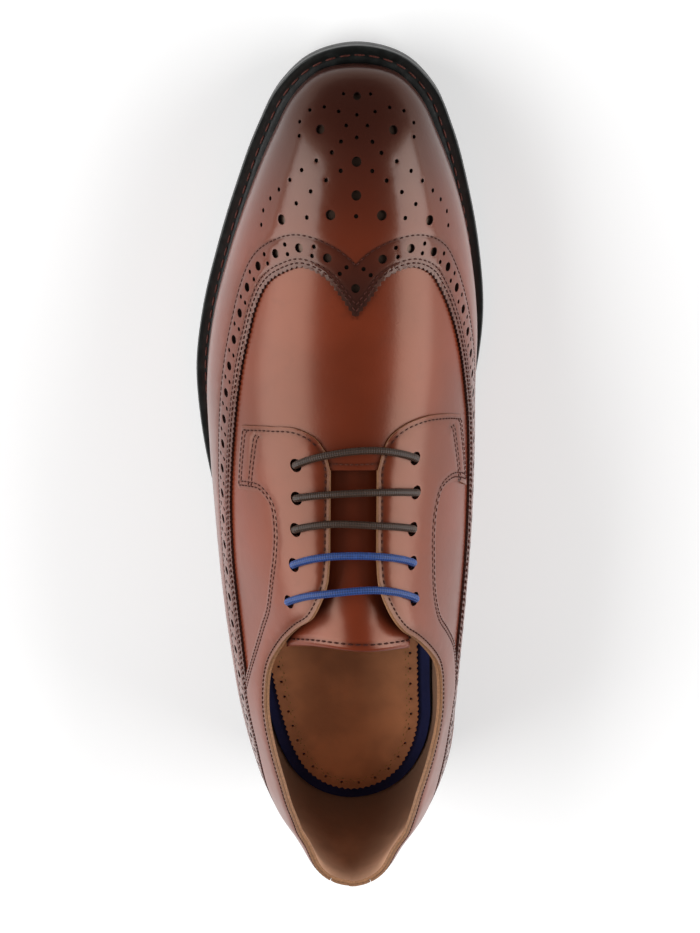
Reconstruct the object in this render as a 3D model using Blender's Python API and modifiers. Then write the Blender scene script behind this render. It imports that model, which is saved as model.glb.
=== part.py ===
"""Left brogue shoe with long wings: welted sole, hollow upper, overlays, tongue, insole and laces.

Design coordinates are metres. y runs from the back of the heel (0) to the toe, x is 0 on the line from
heel to toe with the inner (medial) side at +x, and z is 0 on the floor. One empty moves the whole shoe
so that the middle of its footprint is the world's origin.

The upper and everything cut from leather are laid out on a flat pattern. Its points are (across, along):
the distance out from the ridge of the last, negative on the outer (lateral) side, and the place along
the shoe. Sections of the last carry the pattern to the real surface.
"""
import math

import bpy
import bmesh
import numpy as np
from mathutils.geometry import delaunay_2d_cdt

# Driving sizes
SHOE_LENGTH = 0.306
BALL_WIDTH = 0.105
HEEL_LIFT = 0.0195       # floor to the outsole at the heel
TOE_SPRING = 0.010
INSTEP_HEIGHT = 0.092    # ridge of the last above the sole at its highest
GIRTH_LEVEL = 0.017      # widest line of the upper above the sole
HEEL_TUCK = 0.0035
ARCH_TUCK = 0.009

# Thicknesses
TOP_LIFT_THICK = 0.006
OUTSOLE_THICK = 0.005
WELT_THICK = 0.0028
INSOLE_THICK = 0.0025
PAD_THICK = 0.0010
WALL_THICK = 0.0020
OVERLAY_THICK = 0.0012
TONGUE_THICK = 0.0022
LACE_DIAMETER = 0.0026

# Clearances and small sizes
SEAT = 0.0003            # gap between touching pieces
INSIDE_GAP = 0.0006      # gap between the upper's inside and what lies against it
LACE_GAP = 0.0005
SEAM_GAP = 0.0004        # gap between neighbouring overlays
OVERLAY_LIFT = 0.0015    # how far the overlays end above the feather line
WELT_BEARING = 0.006     # how far the welt reaches under the upper
HEEL_INSET = 0.0008
OUTSOLE_INSET = 0.0004
PAD_INSET = 0.0050
EYELET_DIAMETER = 0.0044
MERGE = 0.0005           # pattern corners closer than this become one

# Places along the shoe, as shares of its length
HEEL_SEAT_END = 0.240
HEEL_FRONT = 0.235
TREAD_START = 0.580
TREAD_END = 0.700
PAD_FRONT = 0.400
TONGUE_DEEP_FROM = 0.585  # behind here the tongue leaves room for the laces
TONGUE_FREE_FROM = 0.425  # behind here it rises to its free end
TONGUE_HIGH_FROM = 0.625  # in front of here it lies against the vamp

# Sections of the last spread like a fan at both ends, from these shares of the length
TOE_FAN = 0.780
TOE_BASE = 0.900
HEEL_FAN = 0.250
HEEL_BASE = 0.125

# Plan outlines: along is a share of the length, the half-widths are shares of the ball width
SOLE_EDGE = (  # along, lateral, medial
    (0.000, 0.000, 0.000),
    (0.012, 0.150, 0.150),
    (0.045, 0.262, 0.262),
    (0.100, 0.322, 0.322),
    (0.170, 0.340, 0.334),
    (0.260, 0.364, 0.320),
    (0.350, 0.420, 0.316),
    (0.440, 0.495, 0.340),
    (0.520, 0.541, 0.386),
    (0.600, 0.555, 0.430),
    (0.670, 0.530, 0.445),
    (0.750, 0.474, 0.424),
    (0.830, 0.404, 0.378),
    (0.900, 0.331, 0.321),
    (0.950, 0.259, 0.258),
    (0.985, 0.157, 0.160),
    (1.000, 0.000, 0.000),
)
UPPER_EDGE = (  # along, lateral, medial
    (0.008, 0.000, 0.000),
    (0.018, 0.128, 0.128),
    (0.048, 0.240, 0.243),
    (0.090, 0.308, 0.312),
    (0.135, 0.348, 0.346),
    (0.200, 0.388, 0.360),
    (0.270, 0.416, 0.372),
    (0.350, 0.446, 0.388),
    (0.440, 0.472, 0.404),
    (0.520, 0.490, 0.408),
    (0.600, 0.496, 0.404),
    (0.670, 0.474, 0.404),
    (0.750, 0.418, 0.379),
    (0.830, 0.342, 0.328),
    (0.900, 0.261, 0.256),
    (0.948, 0.187, 0.186),
    (0.967, 0.130, 0.130),
    (0.978, 0.000, 0.000),
)

# Sections: ridge is a share of INSTEP_HEIGHT, level of GIRTH_LEVEL, the tucks of HEEL_TUCK and ARCH_TUCK;
# shoulder and crown are the powers that round the section above its widest line
LAST_FORM = (  # along, ridge, level, tuck_lateral, tuck_medial, shoulder, crown_lateral, crown_medial
    (0.00, 1.000, 1.00, 1.00, 0.39, 3.00, 1.49, 1.62),
    (0.03, 0.999, 1.00, 1.00, 0.39, 1.68, 1.17, 1.26),
    (0.07, 0.997, 1.00, 1.00, 0.40, 1.42, 1.00, 1.13),
    (0.12, 0.995, 1.00, 1.00, 0.42, 1.25, 1.08, 1.16),
    (0.25, 0.967, 1.00, 1.10, 0.75, 1.30, 1.18, 1.95),
    (0.35, 0.945, 1.00, 1.15, 1.00, 1.35, 1.25, 1.95),
    (0.45, 0.900, 0.90, 0.95, 0.75, 1.45, 1.80, 1.95),
    (0.55, 0.798, 0.80, 0.65, 0.35, 1.60, 2.00, 2.00),
    (0.65, 0.678, 0.72, 0.45, 0.17, 1.75, 2.05, 2.05),
    (0.75, 0.590, 0.66, 0.33, 0.13, 1.90, 2.10, 2.10),
    (0.85, 0.468, 0.60, 0.30, 0.12, 2.05, 2.20, 2.20),
    (0.93, 0.320, 0.56, 0.28, 0.11, 2.10, 2.30, 2.30),
    (0.98, 0.185, 0.52, 0.28, 0.11, 2.10, 2.30, 2.30),
)
FORM_COLUMNS = ("along", "ridge", "level", "tuck_lateral", "tuck_medial", "shoulder", "crown_lateral",
                "crown_medial")

# Pattern lines: across is a share of the ball width, along a share of the length
FACING_EDGE = (  # across, along: from the facing's front end up the slot to where the collar starts
    (0.094, 0.590),
    (0.078, 0.571),
    (0.080, 0.480),
    (0.090, 0.453),
    (0.118, 0.431),
    (0.154, 0.412),
)
COLLAR_HEIGHT = (  # along the feather line, lateral, medial height as shares of INSTEP_HEIGHT
    (0.008, 0.625, 0.625),
    (0.100, 0.550, 0.550),
    (0.200, 0.505, 0.505),
    (0.270, 0.525, 0.525),
    (0.320, 0.585, 0.588),
    (0.360, 0.684, 0.706),
    (0.400, 0.808, 0.838),
)
WING_LATERAL = (  # across, along: from the point on the ridge round the outer side to the heel
    (0.000, 0.733),
    (0.050, 0.757),
    (0.100, 0.776),
    (0.175, 0.784),
    (0.240, 0.775),
    (0.313, 0.756),
    (0.361, 0.727),
    (0.390, 0.696),
    (0.423, 0.659),
    (0.454, 0.620),
    (0.486, 0.580),
    (0.534, 0.530),
    (0.583, 0.479),
    (0.625, 0.416),
    (0.637, 0.352),
    (0.644, 0.290),
    (0.647, 0.235),
    (0.644, 0.171),
    (0.636, 0.098),
    (0.581, 0.024),
    (0.479, -0.043),
    (0.321, -0.101),
    (0.108, -0.132),
)
WING_MEDIAL = (  # across, along: the same round the inner side
    (0.000, 0.733),
    (0.053, 0.756),
    (0.095, 0.775),
    (0.180, 0.784),
    (0.264, 0.771),
    (0.310, 0.751),
    (0.381, 0.711),
    (0.437, 0.672),
    (0.484, 0.640),
    (0.531, 0.612),
    (0.585, 0.580),
    (0.640, 0.530),
    (0.690, 0.470),
    (0.725, 0.400),
    (0.724, 0.329),
    (0.707, 0.239),
    (0.674, 0.169),
    (0.637, 0.097),
    (0.576, 0.026),
    (0.475, -0.040),
    (0.319, -0.100),
    (0.106, -0.132),
)
EYESTAY_LATERAL = (  # across, along, corner: from the throat round the tab and back to the wing
    (0.094, 0.590, 1),
    (0.125, 0.602, 0),
    (0.182, 0.609, 0),
    (0.300, 0.604, 0),
    (0.435, 0.592, 1),
    (0.497, 0.514, 1),
    (0.408, 0.523, 0),
    (0.347, 0.526, 0),
    (0.314, 0.519, 0),
    (0.302, 0.499, 0),
    (0.311, 0.470, 0),
    (0.340, 0.437, 0),
    (0.384, 0.400, 0),
    (0.444, 0.370, 0),
    (0.530, 0.326, 0),
    (0.680, 0.250, 1),
)
EYESTAY_MEDIAL = (  # across, along, corner: the same on the inner side
    (0.094, 0.590, 1),
    (0.118, 0.604, 0),
    (0.165, 0.613, 0),
    (0.234, 0.616, 0),
    (0.360, 0.608, 0),
    (0.497, 0.591, 1),
    (0.620, 0.498, 1),
    (0.508, 0.516, 0),
    (0.420, 0.525, 0),
    (0.370, 0.523, 0),
    (0.350, 0.508, 0),
    (0.345, 0.484, 0),
    (0.356, 0.452, 0),
    (0.376, 0.417, 0),
    (0.416, 0.390, 0),
    (0.505, 0.361, 0),
    (0.610, 0.327, 0),
    (0.760, 0.240, 1),
)
EYELETS = (  # lateral across, lateral along, medial across, medial along, bow of the lace to the toe
    (0.192, 0.571, 0.212, 0.575, 0.020),
    (0.191, 0.536, 0.220, 0.538, 0.012),
    (0.196, 0.503, 0.210, 0.501, 0.015),
    (0.206, 0.466, 0.214, 0.466, 0.020),
    (0.238, 0.423, 0.231, 0.427, 0.026),
)
TONGUE_EDGE = (  # along, lateral, medial half-width across, how far back the corners reach on each side
    (0.384, 0.372, 0.290, 0.038, 0.020),
    (0.420, 0.318, 0.272, 0.023, 0.012),
    (0.500, 0.240, 0.240, 0.000, 0.000),
    (0.580, 0.225, 0.225, 0.000, 0.000),
    (0.640, 0.205, 0.205, 0.000, 0.000),
)
FRONT_EYELETS = 3        # pairs that the brown lace runs through
TAB_HALF = 0.105         # heel tab's half-width at the collar, a share of the ball width
TAB_FLARE = 1.35         # how much wider the tab is at the sole

# Mesh fineness
SECTIONS = 40
ROWS = 9
SECTION_STEPS = 60
SOLE_STATIONS = 44
HOLE_SIDES = 8
TONGUE_ROWS = 12
TONGUE_COLUMNS = 10
LACE_SIDES = 2           # bevel resolution of the laces
COLLAR_SPACING = 0.006   # between points of the collar's bend and of the facings' edges
WING_SPACING = 0.008
NUDGE = 0.001            # step for the surface's slope
LATERAL, MEDIAL = -1, 1

# Colours and finishes: red, green, blue, roughness
FINISHES = {
    "leather": (0.30, 0.10, 0.05, 0.30),
    "leather_dark": (0.20, 0.06, 0.04, 0.30),
    "welt": (0.02, 0.03, 0.03, 0.55),
    "outsole": (0.02, 0.02, 0.02, 0.60),
    "heel": (0.03, 0.025, 0.02, 0.50),
    "insole": (0.03, 0.04, 0.12, 0.80),
    "pad": (0.25, 0.12, 0.06, 0.60),
    "lace_brown": (0.09, 0.07, 0.04, 0.70),
    "lace_blue": (0.05, 0.12, 0.40, 0.70),
}


def column(table, index):
    return np.array([row[index] for row in table], float)


def curve_through(xs, ys, at):
    """Smooth curve through the points (xs, ys), read at the places given."""
    slopes = np.gradient(ys, xs)
    at = np.clip(at, xs[0], xs[-1])
    k = np.clip(np.searchsorted(xs, at, side="right") - 1, 0, len(xs) - 2)
    step = xs[k + 1] - xs[k]
    t = (at - xs[k]) / step
    start, end = ys[k], ys[k + 1]
    return ((2 * t**3 - 3 * t**2 + 1) * start + (t**3 - 2 * t**2 + t) * step * slopes[k]
            + (3 * t**2 - 2 * t**3) * end + (t**3 - t**2) * step * slopes[k + 1])


def smooth_line(points, spacing):
    """Points at an even spacing along a smooth curve through the given ones."""
    points = np.asarray(points, float)
    run = np.concatenate([[0], np.cumsum(np.linalg.norm(np.diff(points, axis=0), axis=1))])
    fine = np.linspace(0, run[-1], 40 * len(points))
    dense = np.stack([curve_through(run, points[:, c], fine) for c in range(points.shape[1])], 1)
    arc = np.concatenate([[0], np.cumsum(np.linalg.norm(np.diff(dense, axis=0), axis=1))])
    even = np.linspace(0, arc[-1], max(2, round(arc[-1] / spacing)) + 1)
    return np.stack([np.interp(even, arc, dense[:, c]) for c in range(points.shape[1])], 1)


def half_width(table, side, y):
    """Half-width of a plan outline at the places y, rounded at both ends."""
    along = column(table, 0) * SHOE_LENGTH
    near = column(table, 1 if side == LATERAL else 2) * BALL_WIDTH
    far = column(table, 2 if side == LATERAL else 1) * BALL_WIDTH
    wrap = 3
    ys = np.concatenate([along[wrap:0:-1], along, along[-2:-2 - wrap:-1]])
    xs = np.concatenate([-far[wrap:0:-1], near, -far[-2:-2 - wrap:-1]])
    run = np.concatenate([[0], np.cumsum(np.hypot(np.diff(xs), np.diff(ys)))])
    fine = np.linspace(run[wrap], run[-1 - wrap], 4000)
    edge_x, edge_y = curve_through(run, xs, fine), curve_through(run, ys, fine)
    return np.maximum(np.interp(y, np.maximum.accumulate(edge_y), edge_x), 0)


def stations(table, count):
    """Places along an outline from its back to its tip, closer together at the round ends."""
    back, tip = table[0][0] * SHOE_LENGTH, table[-1][0] * SHOE_LENGTH
    return back + (tip - back) * (1 - np.cos(np.linspace(0, math.pi, count + 1))) / 2


def form(name, y):
    """A column of the table of sections, read at the places y."""
    return curve_through(column(LAST_FORM, 0), column(LAST_FORM, FORM_COLUMNS.index(name)), y / SHOE_LENGTH)


def tread_height(y):
    """Underside of the outsole above the floor."""
    share = np.asarray(y) / SHOE_LENGTH
    waist = np.clip((share - HEEL_SEAT_END) / (TREAD_START - HEEL_SEAT_END), 0, 1)
    spring = np.clip((share - TREAD_END) / (1 - TREAD_END), 0, 1)
    return HEEL_LIFT * (1 - waist**2 * (3 - 2 * waist)) + TOE_SPRING * spring**1.8


WELT_LEVEL = OUTSOLE_THICK + SEAT
FOOT_LEVEL = WELT_LEVEL + WELT_THICK + SEAT
PAD_LEVEL = FOOT_LEVEL + INSOLE_THICK + SEAT


def ridge_height(y):
    return tread_height(y) + FOOT_LEVEL + INSTEP_HEIGHT * form("ridge", y)


def fan_base(y):
    """Where on the ridge the section through the edge at y starts."""
    share = y / SHOE_LENGTH
    tip, back = UPPER_EDGE[-1][0], UPPER_EDGE[0][0]
    ahead = np.clip((share - TOE_FAN) / (tip - TOE_FAN), 0, 1)
    toe_power = (tip - TOE_FAN) / (TOE_BASE - TOE_FAN)
    toe = TOE_FAN + (TOE_BASE - TOE_FAN) * (1 - (1 - ahead)**toe_power)
    behind = np.clip((HEEL_FAN - share) / (HEEL_FAN - back), 0, 1)
    heel_power = (HEEL_FAN - back) / (HEEL_FAN - HEEL_BASE)
    heel = HEEL_FAN - (HEEL_FAN - HEEL_BASE) * (1 - (1 - behind)**heel_power)
    return SHOE_LENGTH * np.where(share > TOE_FAN, toe, np.where(share < HEEL_FAN, heel, share))


class LastSide:
    """Sections of one side of the last, each from the feather line up to the ridge."""

    def __init__(self, side, count):
        self.side = side
        self.edge_y = stations(UPPER_EDGE, count)
        edge_x = half_width(UPPER_EDGE, side, self.edge_y)
        edge_x[[0, -1]] = 0
        self.base = fan_base(self.edge_y)
        self.reach = np.hypot(edge_x, self.edge_y - self.base)
        self.out = np.stack([edge_x / self.reach, (self.edge_y - self.base) / self.reach], 1)
        tuck_name = "tuck_lateral" if side == LATERAL else "tuck_medial"
        crown_name = "crown_lateral" if side == LATERAL else "crown_medial"
        tuck_size = HEEL_TUCK if side == LATERAL else ARCH_TUCK
        self.foot = tread_height(self.edge_y) + FOOT_LEVEL
        self.tuck = tuck_size * form(tuck_name, self.edge_y)
        level = GIRTH_LEVEL * form("level", self.edge_y)
        girth = (self.foot + level)[:, None]
        low = np.linspace(0, 1, SECTION_STEPS // 6, endpoint=False)[None, :]
        low_radius = self.reach[:, None] - self.tuck[:, None] * (1 - low)**2
        low_z = self.foot[:, None] + level[:, None] * low
        angle = np.linspace(0, math.pi / 2, SECTION_STEPS)[None, :]
        crown = form(crown_name, self.edge_y)[:, None]
        shoulder = form("shoulder", self.edge_y)[:, None]
        high_radius = self.reach[:, None] * np.maximum(np.cos(angle), 0)**(2 / crown)
        high_y = self.base[:, None] + self.out[:, 1:2] * high_radius
        high_z = girth + (ridge_height(high_y) - girth) * np.sin(angle)**(2 / shoulder)
        radius = np.concatenate([low_radius, high_radius], 1)
        self.points = np.stack([
            side * self.out[:, 0:1] * radius,
            self.base[:, None] + self.out[:, 1:2] * radius,
            np.concatenate([low_z, high_z], 1),
        ], 2)
        steps = np.linalg.norm(np.diff(self.points, axis=1), axis=2)
        rise = np.concatenate([np.zeros((len(steps), 1)), np.cumsum(steps, 1)], 1)
        self.drop = rise[:, -1:] - rise

    def section_point(self, k, drop):
        """Surface point of section k at a distance down from the ridge."""
        return np.array([np.interp(drop, self.drop[k][::-1], self.points[k][::-1, c]) for c in range(3)])

    def pattern_point(self, k, drop):
        """The same point on the flat pattern."""
        return np.array([self.side * self.out[k, 0] * drop, self.base[k] + self.out[k, 1] * drop])

    def place(self, across, along):
        """Surface point of a pattern point."""
        across = abs(across)
        turn = self.out[:, 0] * (along - self.base) - self.out[:, 1] * across
        behind = np.nonzero(turn > 1e-12)[0]
        k = min(int(behind[-1]), len(self.base) - 2) if len(behind) else 0
        share = np.clip(turn[k] / (turn[k] - turn[k + 1]), 0, 1)
        ends = []
        for near in (k, k + 1):
            drop = self.out[near, 0] * across + self.out[near, 1] * (along - self.base[near])
            ends.append(self.section_point(near, drop))
        return ends[0] * (1 - share) + ends[1] * share

    def edge_at(self, height, inset):
        """Plan outline of the upper's inside, at a height above the feather line."""
        index = np.arange(len(self.base))
        width = np.array([np.interp(self.foot[k] + height, self.points[k, :, 2],
                                    np.hypot(self.points[k, :, 0], self.points[k, :, 1] - self.base[k]))
                          for k in index]) - inset
        return np.stack([self.side * self.out[:, 0] * width, self.base + self.out[:, 1] * width], 1)


class Last:
    """Both sides of the last, with the grid of triangles that every cut piece follows."""

    def __init__(self):
        self.sides = {side: LastSide(side, SECTIONS) for side in (LATERAL, MEDIAL)}
        self.flat, self.solid, self.triangles = [], [], []
        rows = {}
        for side, half in self.sides.items():
            for k in range(SECTIONS + 1):
                for row in range(ROWS + 1):
                    shared = row == 0 or k in (0, SECTIONS)
                    key = (0 if shared else side, k, row)
                    if key not in rows:
                        drop = half.drop[k, 0] * row / ROWS
                        rows[key] = len(self.flat)
                        self.flat.append(half.pattern_point(k, drop))
                        self.solid.append(half.section_point(k, drop))
        for side in (LATERAL, MEDIAL):
            for k in range(SECTIONS):
                for row in range(ROWS):
                    corner = [rows[(0 if r == 0 or c in (0, SECTIONS) else side, c, r)]
                              for c, r in ((k, row), (k + 1, row), (k + 1, row + 1), (k, row + 1))]
                    if side == MEDIAL:
                        corner.reverse()
                    self.triangles.append((corner[0], corner[1], corner[2]))
                    self.triangles.append((corner[0], corner[2], corner[3]))
        self.flat = np.array(self.flat)
        self.solid = np.array(self.solid)
        self.triangles = [t for t in self.triangles if abs(self.flat_area(t)) > 1e-11]

    def flat_area(self, corner):
        a, b, c = (self.flat[i] for i in corner)
        return ((b[0] - a[0]) * (c[1] - a[1]) - (c[0] - a[0]) * (b[1] - a[1])) / 2

    def place(self, across, along):
        return self.sides[LATERAL if across < 0 else MEDIAL].place(across, along)

    def frame_at(self, across, along):
        """Surface point and outward normal at a pattern point."""
        middle = self.place(across, along)
        over = self.place(across + NUDGE, along) - self.place(across - NUDGE, along)
        ahead = self.place(across, along + NUDGE) - self.place(across, along - NUDGE)
        normal = np.cross(over, ahead)
        return middle, normal / np.linalg.norm(normal)

    def cut(self, inside, holes):
        """Triangles of the last inside all of some outlines and outside the holes, as vertices and faces."""
        verts = [tuple(p) for p in self.flat]
        faces = [list(t) for t in self.triangles]
        for loop in inside + holes:
            first = len(verts)
            verts += [tuple(p) for p in loop[::turn_of(loop)]]
            faces.append(list(range(first, len(verts))))
        out = delaunay_2d_cdt(verts, [], faces, 1, 1e-7)
        out_verts, out_faces, sources = out[0], out[2], out[5]
        count = len(self.triangles)
        wanted = set(range(len(inside)))
        kept = []
        solid = {}
        for face, source in zip(out_faces, sources):
            grid = [s for s in source if s < count]
            pieces = {s - count for s in source if s >= count}
            if not grid or pieces != wanted:
                continue
            kept.append(list(face))
            corner = self.triangles[grid[0]]
            for v in face:
                if v not in solid:
                    solid[v] = self.lift(np.array(out_verts[v]), corner)
        order = {v: i for i, v in enumerate(solid)}
        return [solid[v] for v in order], [[order[v] for v in face] for face in kept]

    def lift(self, point, corner):
        """Surface place of a flat point inside one triangle of the grid."""
        a, b, c = (self.flat[i] for i in corner)
        weights = np.linalg.solve(np.array([[b[0] - a[0], c[0] - a[0]], [b[1] - a[1], c[1] - a[1]]]), point - a)
        p, q, r = (self.solid[i] for i in corner)
        return p + (q - p) * weights[0] + (r - p) * weights[1]


def add_material(name):
    red, green, blue, roughness = FINISHES[name]
    material = bpy.data.materials.new(name)
    material.use_nodes = True
    shader = material.node_tree.nodes["Principled BSDF"]
    shader.inputs["Base Color"].default_value = (red, green, blue, 1)
    shader.inputs["Roughness"].default_value = roughness
    shader.inputs["Metallic"].default_value = 0
    return material


class Workshop:
    """Scene collections, materials and the empty that carries the shoe."""

    def __init__(self):
        for old in list(bpy.data.objects):
            bpy.data.objects.remove(old)
        self.parts = bpy.data.collections.new("brogue_shoe")
        bpy.context.scene.collection.children.link(self.parts)
        self.materials = {name: add_material(name) for name in FINISHES}
        self.carrier = bpy.data.objects.new("shoe_origin", None)
        y = stations(SOLE_EDGE, SOLE_STATIONS)
        left, right = half_width(SOLE_EDGE, LATERAL, y).max(), half_width(SOLE_EDGE, MEDIAL, y).max()
        self.carrier.location = ((left - right) / 2, -SHOE_LENGTH / 2, 0)
        self.parts.objects.link(self.carrier)

    def add(self, name, data, material):
        part = bpy.data.objects.new(name, data)
        data.materials.append(self.materials[material])
        self.parts.objects.link(part)
        part.parent = self.carrier
        return part

    def add_faces(self, name, verts, faces, material, merge=0.0):
        data = bpy.data.meshes.new(name)
        data.from_pydata([tuple(v) for v in verts], [], faces)
        mesh = bmesh.new()
        mesh.from_mesh(data)
        if merge:
            bmesh.ops.remove_doubles(mesh, verts=mesh.verts, dist=merge)
            bmesh.ops.dissolve_degenerate(mesh, edges=mesh.edges, dist=merge / 5)
        mesh.to_mesh(data)
        mesh.free()
        return self.add(name, data, material)


def thicken(part, thickness, clearance=None):
    """Give an open surface its thickness: inwards, or outwards above a clearance."""
    solidify = part.modifiers.new("thickness", "SOLIDIFY")
    solidify.thickness = thickness
    solidify.offset = -1 if clearance is None else 1 + 2 * clearance / thickness
    part.data.shade_smooth()
    part.data.set_sharp_from_angle(angle=math.radians(35))
    return part


def add_plate(shop, name, lateral, medial, level, thickness, material):
    """Plate between two plan edges that follows the height of the tread."""
    verts = []
    for left, right in zip(lateral, medial):
        for x, y in (left, right):
            verts.append((x, y, float(tread_height(y)) + level))
    faces = [(2 * k, 2 * k + 1, 2 * k + 3, 2 * k + 2) for k in range(len(lateral) - 1)]
    part = shop.add_faces(name, verts, faces, material, MERGE / 10)
    raise_plate(part, thickness)
    return part


def raise_plate(part, thickness):
    """Extrude a surface straight up, closing it underneath."""
    mesh = bmesh.new()
    mesh.from_mesh(part.data)
    under = list(mesh.faces)
    made = bmesh.ops.extrude_face_region(mesh, geom=under, use_keep_orig=True)
    top = [v for v in made["geom"] if isinstance(v, bmesh.types.BMVert)]
    bmesh.ops.translate(mesh, verts=top, vec=(0, 0, thickness))
    bmesh.ops.recalc_face_normals(mesh, faces=mesh.faces)
    mesh.to_mesh(part.data)
    mesh.free()
    part.data.shade_smooth()
    part.data.set_sharp_from_angle(angle=math.radians(35))


def sole_edges(inset, back, front):
    """Lateral and medial plan edges of the sole between two places, moved in by an inset."""
    y = stations(SOLE_EDGE, SOLE_STATIONS)
    edges = []
    for side in (LATERAL, MEDIAL):
        half = half_width(SOLE_EDGE, side, y)
        half[[0, -1]] = 0
        line = np.stack([side * half, y], 1)
        if inset:
            ahead = np.gradient(line, axis=0)
            ahead /= np.linalg.norm(ahead, axis=1)[:, None]
            inward = np.stack([-ahead[:, 1], ahead[:, 0]], 1) * side
            inward[0], inward[-1] = (0, 1), (0, -1)
            line = line + inward * inset
        edges.append(clip_line(line, back, front))
    return edges


def clip_line(line, back, front):
    """Part of a plan line between two places along the shoe."""
    inside = line[(line[:, 1] > back) & (line[:, 1] < front)]
    ends = []
    for y in (back, front):
        if line[0, 1] < y < line[-1, 1]:
            ends.append(np.array([[np.interp(y, line[:, 1], line[:, 0]), y]]))
        else:
            ends.append(np.empty((0, 2)))
    return np.concatenate([ends[0], inside, ends[1]])


def add_sole(shop, last):
    everywhere = (-SHOE_LENGTH, 2 * SHOE_LENGTH)
    lateral, medial = sole_edges(OUTSOLE_INSET, *everywhere)
    add_plate(shop, "outsole", lateral, medial, 0, OUTSOLE_THICK, "outsole")
    add_welt(shop, last)
    heel_front = HEEL_FRONT * SHOE_LENGTH
    lateral, medial = sole_edges(HEEL_INSET, -SHOE_LENGTH, heel_front)
    block = HEEL_LIFT - TOP_LIFT_THICK - 2 * SEAT
    add_plate(shop, "heel_block", lateral, medial, -block - SEAT, block, "heel")
    lateral, medial = sole_edges(OUTSOLE_INSET, -SHOE_LENGTH, heel_front)
    add_plate(shop, "top_lift", lateral, medial, -HEEL_LIFT, TOP_LIFT_THICK, "outsole")


def add_welt(shop, last):
    """Ring of leather between the edge of the sole and a line under the upper."""
    verts, faces = [], []
    outer = sole_edges(0, -SHOE_LENGTH, 2 * SHOE_LENGTH)
    loops = []
    for line in (outer, [last.sides[side].edge_at(0, WELT_BEARING) for side in (LATERAL, MEDIAL)]):
        loop = np.concatenate([line[0], line[1][-2:0:-1]])
        arc = np.concatenate([[0], np.cumsum(np.linalg.norm(np.diff(loop, axis=0, append=loop[:1]), axis=1))])
        start = np.append(loop, loop[:1], 0)
        even = np.linspace(0, arc[-1], 2 * SOLE_STATIONS, endpoint=False)
        loops.append(np.stack([np.interp(even, arc, start[:, c]) for c in (0, 1)], 1))
    count = len(loops[0])
    for loop in loops:
        verts += [(x, y, float(tread_height(y)) + WELT_LEVEL) for x, y in loop]
    for k in range(count):
        ahead = (k + 1) % count
        faces.append((k, ahead, count + ahead, count + k))
    part = shop.add_faces("welt", verts, faces, "welt")
    raise_plate(part, WELT_THICK)


def add_insole(shop, last):
    inside = [last.sides[side].edge_at(0, WALL_THICK + INSIDE_GAP) for side in (LATERAL, MEDIAL)]
    for line in inside:
        line[[0, -1], 0] = 0
    add_plate(shop, "insole", *inside, FOOT_LEVEL, INSOLE_THICK, "insole")
    inside = [last.sides[side].edge_at(0, WALL_THICK + PAD_INSET) for side in (LATERAL, MEDIAL)]
    for line in inside:
        line[[0, -1], 0] = 0
    pad = [clip_line(line, -SHOE_LENGTH, PAD_FRONT * SHOE_LENGTH) for line in inside]
    count = min(len(line) for line in pad)
    pad = [np.concatenate([line[:count - 1], line[-1:]]) for line in pad]
    add_plate(shop, "heel_pad", *pad, PAD_LEVEL, PAD_THICK, "pad")


def pattern(table):
    """Pattern points in metres from a table of shares."""
    return np.array([(across * BALL_WIDTH, along * SHOE_LENGTH) for across, along in table])


def cornered_line(table, side, spacing):
    """Pattern line that is smooth between its corners."""
    line, start = [], 0
    for index in range(1, len(table)):
        if table[index][2]:
            piece = smooth_line(pattern([row[:2] for row in table[start:index + 1]]), spacing)
            line.append(piece if start == 0 else piece[1:])
            start = index
    return np.concatenate(line) * np.array([side, 1])


def wing_outline(spread):
    """Closed line round everything above the wings, moved inwards by a spread."""
    lateral = smooth_line(pattern(WING_LATERAL), WING_SPACING) * np.array([LATERAL, 1])
    medial = smooth_line(pattern(WING_MEDIAL), WING_SPACING)
    loop = np.concatenate([medial, lateral[:0:-1]])
    ahead = np.roll(loop, -1, axis=0) - np.roll(loop, 1, axis=0)
    ahead /= np.linalg.norm(ahead, axis=1)[:, None]
    return loop + np.stack([-ahead[:, 1], ahead[:, 0]], 1) * turn_of(loop) * spread


def turn_of(loop):
    """1 for a loop that runs anticlockwise, -1 for the other way."""
    ahead = np.roll(loop, -1, axis=0)
    return 1 if np.sum(loop[:, 0] * ahead[:, 1] - ahead[:, 0] * loop[:, 1]) > 0 else -1


def collar_points(half):
    """Pattern points of the collar on one side, from the facing back to the heel."""
    along = column(COLLAR_HEIGHT, 0) * SHOE_LENGTH
    height = column(COLLAR_HEIGHT, 1 if half.side == LATERAL else 2) * INSTEP_HEIGHT
    points = []
    for k in range(len(half.base)):
        if half.edge_y[k] > along[-1]:
            break
        z = half.foot[k] + curve_through(along, height, half.edge_y[k])
        drop = np.interp(z, half.points[k, :, 2], half.drop[k])
        points.append(half.pattern_point(k, drop))
    return np.array(points[::-1])


def opening_side(half, edge):
    """Half of an opening: the edge of the slot, then the collar to the middle of the heel."""
    facing = pattern(edge) * np.array([half.side, 1])
    rear = collar_points(half)
    bend = smooth_line(np.concatenate([facing[-4:], rear[1:4]]), COLLAR_SPACING)
    return np.concatenate([facing[:-4], bend[:-1], rear[3:]])


def opening_outline(last, edge=FACING_EDGE[1:]):
    """Closed line of the upper's opening, or with the whole facing edge, of what the facings leave open."""
    lateral, medial = (opening_side(last.sides[side], edge) for side in (LATERAL, MEDIAL))
    return np.concatenate([medial, lateral[-2::-1]])


def eyelet_place(number, side):
    """Distance from the middle and place along the shoe of an eyelet."""
    across, along = EYELETS[number][:2] if side == LATERAL else EYELETS[number][2:4]
    return across * BALL_WIDTH, along * SHOE_LENGTH


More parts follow.
